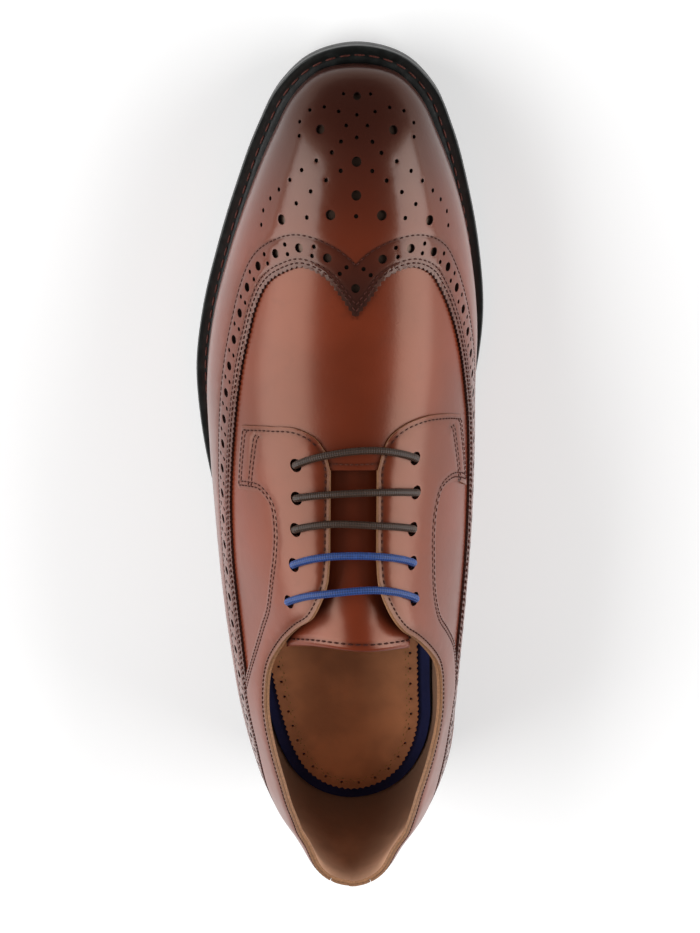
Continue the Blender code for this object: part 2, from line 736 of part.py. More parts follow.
def eyelet_holes(side):
    holes = []
    for number in range(len(EYELETS)):
        across, along = eyelet_place(number, side)
        across *= side
        turns = np.arange(HOLE_SIDES) * 2 * math.pi / HOLE_SIDES
        holes.append(np.stack([across + np.cos(turns) * EYELET_DIAMETER / 2,
                               along + np.sin(turns) * EYELET_DIAMETER / 2], 1))
    return holes


def feather_outline(last, margin):
    """The whole pattern's outer edge, moved out by a margin."""
    line = []
    for side in (LATERAL, MEDIAL):
        half = last.sides[side]
        line.append(np.array([half.pattern_point(k, half.drop[k, 0] + margin) for k in range(SECTIONS + 1)]))
    return np.concatenate([line[0], line[1][-2:0:-1]])


def add_upper(shop, last):
    """One hollow wall, open at the collar, between the facings and underneath."""
    holes = [opening_outline(last)] + eyelet_holes(LATERAL) + eyelet_holes(MEDIAL)
    verts, faces = last.cut([feather_outline(last, OVERLAY_THICK)], holes)
    thicken(shop.add_faces("upper", verts, faces, "leather", MERGE), WALL_THICK)


def tab_outline(last, gap):
    """Outline of the heel tab, from well above the collar to under the sole edge."""
    half = last.sides[MEDIAL]
    low = half.pattern_point(0, half.drop[0, 0] + OVERLAY_THICK)[1]
    high = collar_points(half)[-1, 1]
    top, foot = TAB_HALF * BALL_WIDTH + gap, TAB_HALF * TAB_FLARE * BALL_WIDTH + gap
    above = high + TAB_HALF * BALL_WIDTH
    return np.array([(foot, low), (top, high), (top, above), (-top, above), (-top, high), (-foot, low)])


def add_heel_tab(shop, last):
    """Strap up the back seam, between the ends of the wings and of the eyestays."""
    verts, faces = last.cut([tab_outline(last, 0), feather_outline(last, -OVERLAY_LIFT)], [opening_outline(last)])
    thicken(shop.add_faces("heel_tab", verts, faces, "leather", MERGE), OVERLAY_THICK, SEAT)


def add_wing_cap(shop, last):
    """Long wings: the toe piece with its point on the ridge, run back along both sides to the heel tab."""
    holes = [wing_outline(0), tab_outline(last, SEAM_GAP)]
    verts, faces = last.cut([feather_outline(last, -OVERLAY_LIFT)], holes)
    thicken(shop.add_faces("wing_cap", verts, faces, "leather_dark", MERGE), OVERLAY_THICK, SEAT)


def add_eyestays(shop, last):
    """Facings with their tabs, run back between the collar and the wings to the heel tab."""
    behind = -SHOE_LENGTH
    for name, side, table in (("eyestay_lateral", LATERAL, EYESTAY_LATERAL),
                              ("eyestay_medial", MEDIAL, EYESTAY_MEDIAL)):
        line = cornered_line(table, side, COLLAR_SPACING)
        outline = np.concatenate([line, [(line[-1, 0], behind), (0, behind), (0, line[0, 1])]])
        holes = [opening_outline(last, FACING_EDGE), tab_outline(last, SEAM_GAP)] + eyelet_holes(side)
        verts, faces = last.cut([outline, wing_outline(SEAM_GAP)], holes)
        thicken(shop.add_faces(name, verts, faces, "leather", MERGE), OVERLAY_THICK, SEAT)


def tongue_depth(along):
    """Depth of the tongue's face under the upper's outer surface."""
    lace_room = LACE_DIAMETER + 2 * LACE_GAP
    share = along / SHOE_LENGTH
    high = np.clip((share - TONGUE_DEEP_FROM) / (TONGUE_HIGH_FROM - TONGUE_DEEP_FROM), 0, 1)
    free = np.clip((TONGUE_FREE_FROM - share) / (TONGUE_FREE_FROM - TONGUE_EDGE[0][0]), 0, 1)
    high = max(high, free)
    return WALL_THICK + lace_room + (INSIDE_GAP - lace_room) * high**2 * (3 - 2 * high)


def tongue_row(along, count):
    """Pattern points across the tongue at a place along its middle."""
    table = column(TONGUE_EDGE, 0) * SHOE_LENGTH
    lateral, medial, lateral_back, medial_back = (
        float(curve_through(table, column(TONGUE_EDGE, index), along)) for index in (1, 2, 3, 4))
    share = np.linspace(-1, 1, count)
    width = np.where(share < 0, lateral, medial) * BALL_WIDTH
    back = np.where(share < 0, lateral_back, medial_back) * SHOE_LENGTH
    return np.stack([share * width, along - back * share**2], 1)


def rounded(row):
    """A row of points with the ridge in its middle smoothed away."""
    for _ in range(TONGUE_COLUMNS // 2):
        row[1:-1] = (row[:-2] + 2 * row[1:-1] + row[2:]) / 4
    return row


def add_tongue(shop, last):
    along = TONGUE_EDGE[0][0], TONGUE_EDGE[-1][0]
    verts = []
    for y in np.linspace(along[0], along[1], TONGUE_ROWS + 1) * SHOE_LENGTH:
        row = []
        for flat_x, flat_y in tongue_row(y, TONGUE_COLUMNS + 1):
            middle, normal = last.frame_at(flat_x, flat_y)
            row.append(middle - normal * tongue_depth(y))
        verts += list(rounded(np.array(row)))
    wide = TONGUE_COLUMNS + 1
    faces = [(r * wide + c, r * wide + c + 1, (r + 1) * wide + c + 1, (r + 1) * wide + c)
             for r in range(TONGUE_ROWS) for c in range(TONGUE_COLUMNS)]
    thicken(shop.add_faces("tongue", verts, faces, "leather"), TONGUE_THICK)


LACE_RISE = SEAT + OVERLAY_THICK + LACE_GAP + LACE_DIAMETER / 2
LACE_SINK = WALL_THICK + LACE_GAP + LACE_DIAMETER / 2


def lace_bar(last, eyelet, side):
    """Points of one bar: up through the eyelet on a side, across, and down through the other one."""
    radius = LACE_DIAMETER / 2
    bow = EYELETS[eyelet][4] * SHOE_LENGTH
    way = []
    for near, ahead in ((side, 1), (-side, -1)):
        across, along = eyelet_place(eyelet, near)
        steps = [  # out from the middle, ahead along the shoe, height above the surface
            (across, 2.3 * radius * ahead, -LACE_SINK),
            (across, radius * ahead, radius / 4 - LACE_SINK),
            (across, 0, -WALL_THICK),
            (across, 0, LACE_RISE - 0.7 * radius),
            (across - radius, 0, LACE_RISE + 0.1 * radius),
            (across - 2.5 * radius, 0, LACE_RISE),
            (across * 0.62, 0, LACE_RISE),
            (FACING_EDGE[1][0] * BALL_WIDTH, 0, LACE_RISE),
        ]
        way += [(near * out, along + step + bow * (1 - (out / across)**2), height)
                for out, step, height in steps[::ahead]]
    points = []
    for out, y, height in way:
        middle, normal = last.frame_at(out, y)
        points.append(middle + normal * height)
    return points


def add_lace(shop, last, name, eyelets, material):
    """Straight bars over the slot, joined by runs under the facings."""
    points = []
    for turn, eyelet in enumerate(eyelets):
        side = MEDIAL if turn % 2 == 0 else LATERAL
        points += lace_bar(last, eyelet, side)
    data = bpy.data.curves.new(name, "CURVE")
    data.dimensions = "3D"
    data.bevel_depth = LACE_DIAMETER / 2
    data.bevel_resolution = LACE_SIDES
    data.render_resolution_u = 0
    data.use_fill_caps = True
    spline = data.splines.new("POLY")
    spline.points.add(len(points) - 1)
    for knot, place in zip(spline.points, points):
        knot.co = (*place, 1)
    shop.add(name, data, material)


def add_laces(shop, last):
    add_lace(shop, last, "lace_front", range(FRONT_EYELETS), "lace_brown")
    add_lace(shop, last, "lace_rear", range(FRONT_EYELETS, len(EYELETS)), "lace_blue")


def main():
    shop = Workshop()
    last = Last()
    add_sole(shop, last)
    add_insole(shop, last)
    add_upper(shop, last)
    add_wing_cap(shop, last)
    add_heel_tab(shop, last)
    add_eyestays(shop, last)
    add_tongue(shop, last)
    add_laces(shop, last)


main()
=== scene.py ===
"""Left brogue shoe with long wings, dressed over its CAD frame.

Design coordinates are metres: y runs from the back of the heel (0) to the toe, x is 0 on the line from
heel to toe with the inner (medial) side at +x, and z is 0 on the floor. ORIGIN moves them to the frame.
Leather is laid out on a flat pattern whose points are (across, along), and sections of the last carry
the pattern to the real surface.
"""
import math

import bmesh
import bpy
import numpy as np
from mathutils import Matrix, Vector
from mathutils.geometry import delaunay_2d_cdt
from mathutils.kdtree import KDTree


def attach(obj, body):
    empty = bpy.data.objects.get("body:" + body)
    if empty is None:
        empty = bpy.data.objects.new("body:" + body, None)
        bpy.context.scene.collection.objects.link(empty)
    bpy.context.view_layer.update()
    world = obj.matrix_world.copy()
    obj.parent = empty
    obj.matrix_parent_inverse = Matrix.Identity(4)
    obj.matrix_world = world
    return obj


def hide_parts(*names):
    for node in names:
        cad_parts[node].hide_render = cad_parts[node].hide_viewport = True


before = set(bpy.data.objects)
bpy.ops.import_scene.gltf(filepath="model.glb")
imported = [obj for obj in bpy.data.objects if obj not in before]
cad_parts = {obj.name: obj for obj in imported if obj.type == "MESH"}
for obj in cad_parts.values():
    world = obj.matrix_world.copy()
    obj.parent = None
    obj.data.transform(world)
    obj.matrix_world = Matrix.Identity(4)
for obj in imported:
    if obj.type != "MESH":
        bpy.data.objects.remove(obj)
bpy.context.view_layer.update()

bl_info = {
    "name": "Brogue shoe",
    "version": (1, 0, 0),
    "blender": (4, 5, 0),
    "location": "3D View > Sidebar > Shoe",
    "description": "Leather, stitching, laces and stage of a left brogue shoe",
    "category": "Object",
}

LATERAL, MEDIAL = -1, 1
SIDES = (LATERAL, MEDIAL)
UP = np.array([0.0, 0.0, 1.0])
TINY, FAR = 1e-12, 1.0

# Driving sizes, the same as in the CAD model
SHOE_LENGTH = 0.306
BALL_WIDTH = 0.105
HEEL_LIFT = 0.0195       # floor to the outsole at the heel
TOE_SPRING = 0.010
INSTEP_HEIGHT = 0.092    # ridge of the last above the sole at its highest
GIRTH_LEVEL = 0.017      # widest line of the upper above the sole
HEEL_TUCK = 0.0035
ARCH_TUCK = 0.009

# Thicknesses
TOP_LIFT_THICK = 0.006
OUTSOLE_THICK = 0.005
WELT_THICK = 0.0028
INSOLE_THICK = 0.0025
PAD_THICK = 0.0010
WALL_THICK = 0.0020
OVERLAY_THICK = 0.0012
TONGUE_THICK = 0.0022
LACE_DIAMETER = 0.0026

# Clearances and small sizes
SEAT = 0.0003            # gap between touching pieces
INSIDE_GAP = 0.0006      # gap between the upper's inside and what lies against it
LACE_GAP = 0.0005
SEAM_GAP = 0.0004        # gap between neighbouring overlays
OVERLAY_LIFT = 0.0015    # how far the overlays end above the feather line
WELT_BEARING = 0.006     # how far the welt reaches under the upper
HEEL_INSET = 0.0008
OUTSOLE_INSET = 0.0004
PAD_INSET = 0.0050
EYELET_DIAMETER = 0.0044

# Places along the shoe, as shares of its length
HEEL_SEAT_END = 0.240
HEEL_FRONT = 0.235
TREAD_START = 0.580
TREAD_END = 0.700
PAD_FRONT = 0.400
TONGUE_DEEP_FROM = 0.585  # behind here the tongue leaves room for the laces
TONGUE_FREE_FROM = 0.425  # behind here it rises to its free end
TONGUE_HIGH_FROM = 0.625  # in front of here it lies against the vamp

# Sections of the last spread like a fan at both ends, from these shares of the length
TOE_FAN = 0.780
TOE_BASE = 0.900
HEEL_FAN = 0.250
HEEL_BASE = 0.125

# Fineness of the dressed surface
LAST_SECTIONS = 170
LAST_STEPS = 150
ROUND_STEPS = 200
GRID = 0.0024            # spacing of the leather's mesh
EDGE_STEP = 0.0010       # spacing of points along a cut edge or a seam
NUDGE = 0.0006           # step over which the leather's normal is measured
FINE_STEP = 0.0004       # spacing of the points that stand for a seam
COLLAR_STEP = 0.006      # spacing of the points that the collar's curve runs through
COLLAR_START = 0.005     # the curve leaves out those nearer to the facing than this

# Levels above the tread
WELT_LEVEL = OUTSOLE_THICK + SEAT
FOOT_LEVEL = WELT_LEVEL + WELT_THICK + SEAT
PAD_LEVEL = FOOT_LEVEL + INSOLE_THICK + SEAT

# Dressed leather
CLEAR = 0.00012          # overlays lie this far off the upper
OVERLAY_TOP = SEAT + OVERLAY_THICK
SKIVED = 0.38            # share of its thickness that an overlay loses at its edge
GROOVE = 0.00028         # how deep a seam pulls the leather in
GROOVE_WIDTH = 0.0006
SEAM_SHADE = 0.0007      # how far the dark line of a seam reaches
SEAM_INSETS = (0.0014, 0.0027)  # two rows, from the facing's edge
TAB_BARS = (0.0016, 0.0062, 0.0078)
TAB_ROWS = (0.0013, 0.0026)
PINKED_ROWS = (0.0017, 0.0030)
WELT_SEAM = 0.0034
TONGUE_SEAM = 0.0024
TOOTH_DEPTH = 0.0007     # of the wings' pinked edge
BRAID_PITCH = 0.0016

# Punched holes
BAND_MIDDLE = 0.0065     # from the pinked edge to the middle of the punched band
FIRST_HOLE = 0.013       # from the one on the ridge
HOLE_PITCH = 0.0102
LAST_HOLE = 0.012        # room left at the heel
PAIR_HALF = 0.00155      # from the middle of the band to a small hole
LARGE_SIDES, SMALL_SIDES = 12, 8
HOLE_RINGS = (0.0005, 0.0014)  # rings of points round a hole, by how much wider they are

# Stage; lights have a name, place, width and height, and share of the power
LIGHTS = (
    ("left_light", (-0.74, 0.0, 0.46), (1.1, 0.76), 0.95),
    ("right_light", (0.79, 0.0, 0.40), (1.1, 0.66), 0.86),
)
LIGHT_TARGET = (0, 0, 0.05)
WORLD_STRENGTH = 0.09
CAMERA_TARGET = (0.00436, 0.0046, 0.040)
CAMERA_DISTANCE = 0.800
CAMERA_TILT, CAMERA_ROLL = 25.73, -0.444  # degrees
CAMERA_SENSOR, CAMERA_LENS = 24, 57.07    # millimetres

# Plan outlines: along is a share of the length, the half-widths are shares of the ball width
SOLE_EDGE = (  # along, lateral, medial
    (0.0, 0.0, 0.0), (0.012, 0.15, 0.15), (0.045, 0.262, 0.262), (0.1, 0.322, 0.322), (0.17, 0.34, 0.334),
    (0.26, 0.364, 0.32), (0.35, 0.42, 0.316), (0.44, 0.495, 0.34), (0.52, 0.541, 0.386), (0.6, 0.555, 0.43),
    (0.67, 0.53, 0.445), (0.75, 0.474, 0.424), (0.83, 0.404, 0.378), (0.9, 0.331, 0.321),
    (0.95, 0.259, 0.258), (0.985, 0.157, 0.16), (1.0, 0.0, 0.0),
)
UPPER_EDGE = (  # along, lateral, medial
    (0.008, 0.0, 0.0), (0.018, 0.128, 0.128), (0.048, 0.24, 0.243), (0.09, 0.308, 0.312),
    (0.135, 0.348, 0.346), (0.2, 0.388, 0.36), (0.27, 0.416, 0.372), (0.35, 0.446, 0.388),
    (0.44, 0.472, 0.404), (0.52, 0.49, 0.408), (0.6, 0.496, 0.404), (0.67, 0.474, 0.404),
    (0.75, 0.418, 0.379), (0.83, 0.342, 0.328), (0.9, 0.261, 0.256), (0.948, 0.187, 0.186),
    (0.967, 0.13, 0.13), (0.978, 0.0, 0.0),
)

# Sections: ridge is a share of INSTEP_HEIGHT, level of GIRTH_LEVEL, the tucks of HEEL_TUCK and ARCH_TUCK;
# shoulder and crown are the powers that round the section above its widest line
LAST_FORM = (  # along, ridge, level, tuck_lateral, tuck_medial, shoulder, crown_lateral, crown_medial
    (0.0, 1.0, 1.0, 1.0, 0.39, 3.0, 1.49, 1.62), (0.03, 0.999, 1.0, 1.0, 0.39, 1.68, 1.17, 1.26),
    (0.07, 0.997, 1.0, 1.0, 0.4, 1.42, 1.0, 1.13), (0.12, 0.995, 1.0, 1.0, 0.42, 1.25, 1.08, 1.16),
    (0.25, 0.967, 1.0, 1.1, 0.75, 1.3, 1.18, 1.95), (0.35, 0.945, 1.0, 1.15, 1.0, 1.35, 1.25, 1.95),
    (0.45, 0.9, 0.9, 0.95, 0.75, 1.45, 1.8, 1.95), (0.55, 0.798, 0.8, 0.65, 0.35, 1.6, 2.0, 2.0),
    (0.65, 0.678, 0.72, 0.45, 0.17, 1.75, 2.05, 2.05), (0.75, 0.59, 0.66, 0.33, 0.13, 1.9, 2.1, 2.1),
    (0.85, 0.468, 0.6, 0.3, 0.12, 2.05, 2.2, 2.2), (0.93, 0.32, 0.56, 0.28, 0.11, 2.1, 2.3, 2.3),
    (0.98, 0.185, 0.52, 0.28, 0.11, 2.1, 2.3, 2.3),
)
FORM_COLUMNS = ("along", "ridge", "level", "tuck_lateral", "tuck_medial", "shoulder", "crown_lateral",
                "crown_medial")

# Pattern lines: across is a share of the ball width, along a share of the length
FACING_EDGE = (  # across, along: from the facing's front end up the slot to where the collar starts
    (0.094, 0.59), (0.078, 0.571), (0.08, 0.48), (0.09, 0.453), (0.118, 0.431), (0.154, 0.412),
)
COLLAR_HEIGHT = (  # along the feather line, lateral, medial height as shares of INSTEP_HEIGHT
    (0.008, 0.625, 0.625), (0.1, 0.55, 0.55), (0.2, 0.505, 0.505), (0.27, 0.525, 0.525),
    (0.32, 0.585, 0.588), (0.36, 0.684, 0.706), (0.4, 0.808, 0.838),
)
WING_LATERAL = (  # across, along: from the point on the ridge round the outer side to the heel
    (0.0, 0.733), (0.05, 0.757), (0.1, 0.776), (0.175, 0.784), (0.24, 0.775), (0.313, 0.756),
    (0.361, 0.727), (0.39, 0.696), (0.423, 0.659), (0.454, 0.62), (0.486, 0.58), (0.534, 0.53),
    (0.583, 0.479), (0.625, 0.416), (0.637, 0.352), (0.644, 0.29), (0.647, 0.235), (0.644, 0.171),
    (0.636, 0.098), (0.581, 0.024), (0.479, -0.043), (0.321, -0.101), (0.108, -0.132),
)
WING_MEDIAL = (  # across, along: the same round the inner side
    (0.0, 0.733), (0.053, 0.756), (0.095, 0.775), (0.18, 0.784), (0.264, 0.771), (0.31, 0.751),
    (0.381, 0.711), (0.437, 0.672), (0.484, 0.64), (0.531, 0.612), (0.585, 0.58), (0.64, 0.53),
    (0.69, 0.47), (0.725, 0.4), (0.724, 0.329), (0.707, 0.239), (0.674, 0.169), (0.637, 0.097),
    (0.576, 0.026), (0.475, -0.04), (0.319, -0.1), (0.106, -0.132),
)
EYESTAY_LATERAL = (  # across, along, corner: from the throat round the tab and back to the wing
    (0.094, 0.59, 1), (0.125, 0.602, 0), (0.182, 0.609, 0), (0.3, 0.604, 0), (0.435, 0.592, 1),
    (0.497, 0.514, 1), (0.408, 0.523, 0), (0.347, 0.526, 0), (0.314, 0.519, 0), (0.302, 0.499, 0),
    (0.311, 0.47, 0), (0.34, 0.437, 0), (0.384, 0.4, 0), (0.444, 0.37, 0), (0.53, 0.326, 0),
    (0.68, 0.25, 1),
)
EYESTAY_MEDIAL = (  # across, along, corner: the same on the inner side
    (0.094, 0.59, 1), (0.118, 0.604, 0), (0.165, 0.613, 0), (0.234, 0.616, 0), (0.36, 0.608, 0),
    (0.497, 0.591, 1), (0.62, 0.498, 1), (0.508, 0.516, 0), (0.42, 0.525, 0), (0.37, 0.523, 0),
    (0.35, 0.508, 0), (0.345, 0.484, 0), (0.356, 0.452, 0), (0.376, 0.417, 0), (0.416, 0.39, 0),
    (0.505, 0.361, 0), (0.61, 0.327, 0), (0.76, 0.24, 1),
)
EYELETS = (  # lateral across, lateral along, medial across, medial along, bow of the lace to the toe
    (0.192, 0.571, 0.212, 0.575, 0.02), (0.191, 0.536, 0.22, 0.538, 0.012),
    (0.196, 0.503, 0.21, 0.501, 0.015), (0.206, 0.466, 0.214, 0.466, 0.02),
    (0.238, 0.423, 0.231, 0.427, 0.026),
)
TONGUE_EDGE = (  # along, lateral, medial half-width across, how far back the corners reach on each side
    (0.384, 0.372, 0.29, 0.038, 0.02), (0.42, 0.318, 0.272, 0.023, 0.012), (0.5, 0.24, 0.24, 0.0, 0.0),
    (0.58, 0.225, 0.225, 0.0, 0.0), (0.64, 0.205, 0.205, 0.0, 0.0),
)
WING = {LATERAL: WING_LATERAL, MEDIAL: WING_MEDIAL}
EYESTAY = {LATERAL: EYESTAY_LATERAL, MEDIAL: EYESTAY_MEDIAL}
FRONT_EYELETS = 3        # pairs that the brown lace runs through
TAB_HALF = 0.105         # heel tab's half-width at the collar, a share of the ball width
TAB_FLARE = 1.35         # how much wider the tab is at the sole

# Holes of the toe's ornament, one half: across and along in millimetres, 1 for a large hole
TOE_ORNAMENT = (
    (0.0, 297.4, 1), (13.3, 284.6, 1), (0.0, 274.8, 1), (0.0, 264.4, 1), (8.4, 258.0, 1), (26.5, 254.0, 1),
    (5.6, 298.0, 0), (7.1, 291.3, 0), (12.7, 292.5, 0), (18.3, 291.0, 0), (0.0, 290.4, 0), (22.0, 286.6, 0),
    (21.4, 281.8, 0), (4.0, 286.5, 0), (0.0, 282.6, 0), (5.5, 281.0, 0), (8.4, 277.4, 0), (13.7, 274.5, 0),
    (19.1, 270.9, 0), (23.8, 267.1, 0), (28.6, 263.1, 0), (32.8, 259.3, 0), (36.3, 254.6, 0),
    (36.6, 249.9, 0), (5.2, 271.9, 0), (10.0, 268.7, 0), (15.3, 264.7, 0), (20.6, 260.2, 0),
    (16.5, 256.4, 0), (0.0, 257.9, 0),
)


# ---- curves and levels of the CAD model

def column(table, index):
    return np.array([row[index] for row in table], float)


def curve_through(xs, ys, at):
    """Smooth curve through the points (xs, ys), read at the places given."""
    slopes = np.gradient(ys, xs)
    at = np.clip(at, xs[0], xs[-1])
    k = np.clip(np.searchsorted(xs, at, side="right") - 1, 0, len(xs) - 2)
    step = xs[k + 1] - xs[k]
    t = (at - xs[k]) / step
    return ((2 * t**3 - 3 * t**2 + 1) * ys[k] + (t**3 - 2 * t**2 + t) * step * slopes[k]
            + (3 * t**2 - 2 * t**3) * ys[k + 1] + (t**3 - t**2) * step * slopes[k + 1])


def smooth_step(values, low, high):
    share = np.clip((values - low) / (high - low), 0, 1)
    return share**2 * (3 - 2 * share)


def fades(distance, reach):
    """1 at distance 0, falling smoothly to nothing past the reach."""
    return np.exp(-(distance / reach)**2)


def arc_of(line):
    """Length along a line at each of its points."""
    return np.concatenate([[0], np.cumsum(np.linalg.norm(np.diff(line, axis=0), axis=1))])


def read_along(line, arc, at):
    """Points of a line where its running length has the values given."""
    return np.stack([np.interp(at, arc, values) for values in line.T], -1)


def resampled(line, pitch):
    """Points at an even pitch along a polyline."""
    arc = arc_of(line)
    return read_along(line, arc, np.linspace(0, arc[-1], max(2, round(arc[-1] / pitch)) + 1))


def smooth_line(points, spacing, fineness=40):
    """Points at an even spacing along a smooth curve through the given ones."""
    arc = arc_of(points)
    fine = np.linspace(0, arc[-1], fineness * len(points))
    return resampled(np.stack([curve_through(arc, values, fine) for values in points.T], 1), spacing)


def half_width(table, side, y):
    """Half-width of a plan outline at the places y, rounded at both ends."""
    along = column(table, 0) * SHOE_LENGTH
    near, far = (column(table, index) * BALL_WIDTH for index in ((1, 2) if side == LATERAL else (2, 1)))
    wrap = 3
    ys = np.concatenate([along[wrap:0:-1], along, along[-2:-2 - wrap:-1]])
    xs = np.concatenate([-far[wrap:0:-1], near, -far[-2:-2 - wrap:-1]])
    run = np.concatenate([[0], np.cumsum(np.hypot(np.diff(xs), np.diff(ys)))])
    fine = np.linspace(run[wrap], run[-1 - wrap], 4000)
    edge_x, edge_y = curve_through(run, xs, fine), curve_through(run, ys, fine)
    return np.maximum(np.interp(y, np.maximum.accumulate(edge_y), edge_x), 0)


def stations(table, count):
    """Places along an outline from its back to its tip, closer together at the round ends."""
    back, tip = table[0][0] * SHOE_LENGTH, table[-1][0] * SHOE_LENGTH
    return back + (tip - back) * (1 - np.cos(np.linspace(0, math.pi, count + 1))) / 2


def form(name, y):
    """A column of the table of sections, read at the places y."""
    return curve_through(column(LAST_FORM, 0), column(LAST_FORM, FORM_COLUMNS.index(name)), y / SHOE_LENGTH)


def tread_height(y):
    """Underside of the outsole above the floor."""
    share = np.asarray(y) / SHOE_LENGTH
    spring = np.clip((share - TREAD_END) / (1 - TREAD_END), 0, 1)
    return HEEL_LIFT * (1 - smooth_step(share, HEEL_SEAT_END, TREAD_START)) + TOE_SPRING * spring**1.8


def ridge_height(y):
    return tread_height(y) + FOOT_LEVEL + INSTEP_HEIGHT * form("ridge", y)


def fanned(share, start, base, end):
    """Shares from start to end, drawn together between start and base."""
    reach = np.clip((share - start) / (end - start), 0, 1)
    return start + (base - start) * (1 - (1 - reach)**((end - start) / (base - start)))


def fan_base(y):
    """Where on the ridge the section through the edge at y starts."""
    share = y / SHOE_LENGTH
    toe = fanned(share, TOE_FAN, TOE_BASE, UPPER_EDGE[-1][0])
    heel = fanned(share, HEEL_FAN, HEEL_BASE, UPPER_EDGE[0][0])
    return SHOE_LENGTH * np.where(share > TOE_FAN, toe, np.where(share < HEEL_FAN, heel, share))


class LastSide:
    """Sections of one side of the last, each evenly divided from the ridge down to the feather line."""

    def __init__(self, side):
        self.side = side
        self.edge_y = stations(UPPER_EDGE, LAST_SECTIONS)
        edge_x = half_width(UPPER_EDGE, side, self.edge_y)
        edge_x[[0, -1]] = 0
        self.base = fan_base(self.edge_y)
        reach = np.hypot(edge_x, self.edge_y - self.base)
        self.out = np.stack([edge_x / reach, (self.edge_y - self.base) / reach], 1)
        self.foot = tread_height(self.edge_y) + FOOT_LEVEL
        name, tuck_size = ("lateral", HEEL_TUCK) if side == LATERAL else ("medial", ARCH_TUCK)
        reach, base, foot, level, tuck, crown, shoulder = (values[:, None] for values in (
            reach, self.base, self.foot, GIRTH_LEVEL * form("level", self.edge_y),
            tuck_size * form("tuck_" + name, self.edge_y), form("crown_" + name, self.edge_y),
            form("shoulder", self.edge_y)))
        low = np.linspace(0, 1, ROUND_STEPS // 6, endpoint=False)[None, :]
        low_radius = reach - tuck * (1 - low)**2
        angle = np.linspace(0, math.pi / 2, ROUND_STEPS)[None, :]
        high_radius = reach * np.maximum(np.cos(angle), 0)**(2 / crown)
        high_y = base + self.out[:, 1:2] * high_radius
        girth = foot + level
        high_z = girth + (ridge_height(high_y) - girth) * np.sin(angle)**(2 / shoulder)
        radius = np.concatenate([low_radius, high_radius], 1)
        points = np.stack([side * self.out[:, 0:1] * radius, base + self.out[:, 1:2] * radius,
                           np.concatenate([foot + level * low, high_z], 1)], 2)[:, ::-1]
        drops = [arc_of(section) for section in points]
        self.total = np.array([drop[-1] for drop in drops])
        self.grid = np.array([read_along(section, drop, np.linspace(0, drop[-1], LAST_STEPS))
                              for section, drop in zip(points, drops)])

    def pattern_point(self, drop, k=slice(None)):
        """Pattern point at a length down the section k, or down each of them."""
        return np.stack([self.side * self.out[k, 0] * drop, self.base[k] + self.out[k, 1] * drop], -1)

    def place(self, across, along):
        """Surface points of pattern points."""
        across = np.abs(across)
        turn = self.out[:, 0] * (along[:, None] - self.base) - self.out[:, 1] * across[:, None]
        ahead = turn > TINY
        end = len(self.base) - 1
        k = np.minimum(np.where(ahead.any(1), end - np.argmax(ahead[:, ::-1], 1), 0), end - 1)
        row = np.arange(len(k))
        first, second = turn[row, k], turn[row, k + 1]
        share = np.clip(first / (first - second), 0, 1)
        found = np.zeros((len(k), 3))
        for near, weight in ((k, 1 - share), (k + 1, share)):
            drop = self.out[near, 0] * across + self.out[near, 1] * (along - self.base[near])
            step = np.clip(drop / self.total[near], 0, 1) * (LAST_STEPS - 1)
            low = np.minimum(step.astype(int), LAST_STEPS - 2)
            part = (step - low)[:, None]
            found += (self.grid[near, low] * (1 - part) + self.grid[near, low + 1] * part) * weight[:, None]
        return found

    def edge_inside(self, inset):
        """Plan outline of the last at the feather line, moved in by an inset."""
        radius = np.hypot(self.grid[:, ::-1, 0], self.grid[:, ::-1, 1] - self.base[:, None])
        width = np.array([np.interp(foot, section[::-1, 2], out)
                          for foot, section, out in zip(self.foot, self.grid, radius)]) - inset
        return self.pattern_point(width)


class Last:
    """The form that the leather lies on."""

    def __init__(self):
        self.sides = {side: LastSide(side) for side in SIDES}

    def place(self, points):
        points = np.atleast_2d(points)
        found = np.empty((len(points), 3))
        for side, half in self.sides.items():
            chosen = (points[:, 0] < 0) == (side == LATERAL)
            if chosen.any():
                found[chosen] = half.place(*points[chosen].T)
        return found

    def frames(self, points):
        """Surface points and outward normals of pattern points."""
        points = np.atleast_2d(points)
        over, ahead = (self.place(points + nudge) - self.place(points - np.array(nudge))
                       for nudge in ((NUDGE, 0), (0, NUDGE)))
        normal = np.cross(over, ahead)
        return self.place(points), normal / np.linalg.norm(normal, axis=1)[:, None]


last = Last()
reaches = [half_width(SOLE_EDGE, side, stations(SOLE_EDGE, 44)).max() for side in SIDES]
ORIGIN = np.array([(reaches[0] - reaches[1]) / 2, -SHOE_LENGTH / 2, 0])


# ---- pattern lines

def pattern(table):
    """Points in metres from rows of shares."""
    return np.array([(row[0] * BALL_WIDTH, row[1] * SHOE_LENGTH) for row in table])


def tangents(line):
    ahead = np.gradient(line, axis=0)
    return ahead / np.maximum(np.linalg.norm(ahead, axis=1), TINY)[:, None]


def left_of(ahead):
    """Directions turned left by a right angle."""
    return np.stack([-ahead[:, 1], ahead[:, 0]], 1)


def beside(line, distance):
    """A line moved to its left by a distance."""
    return line + left_of(tangents(line)) * distance


def turn_of(loop):
    """1 for a loop that runs anticlockwise, -1 for the other way."""
    ahead = np.roll(loop, -1, axis=0)
    return 1 if np.sum(loop[:, 0] * ahead[:, 1] - ahead[:, 0] * loop[:, 1]) > 0 else -1


def moved_in(loop, distance):
    """A closed line moved into itself by a distance."""
    ahead = np.roll(loop, -1, axis=0) - np.roll(loop, 1, axis=0)
    ahead /= np.linalg.norm(ahead, axis=1)[:, None]
    return loop + left_of(ahead) * turn_of(loop) * distance


def closed_resampled(loop, pitch):
    line = []
    for a, b in zip(loop, np.roll(loop, -1, axis=0)):
        count = max(1, round(np.linalg.norm(b - a) / pitch))
        line += [a + (b - a) * k / count for k in range(count)]
    return np.array(line)


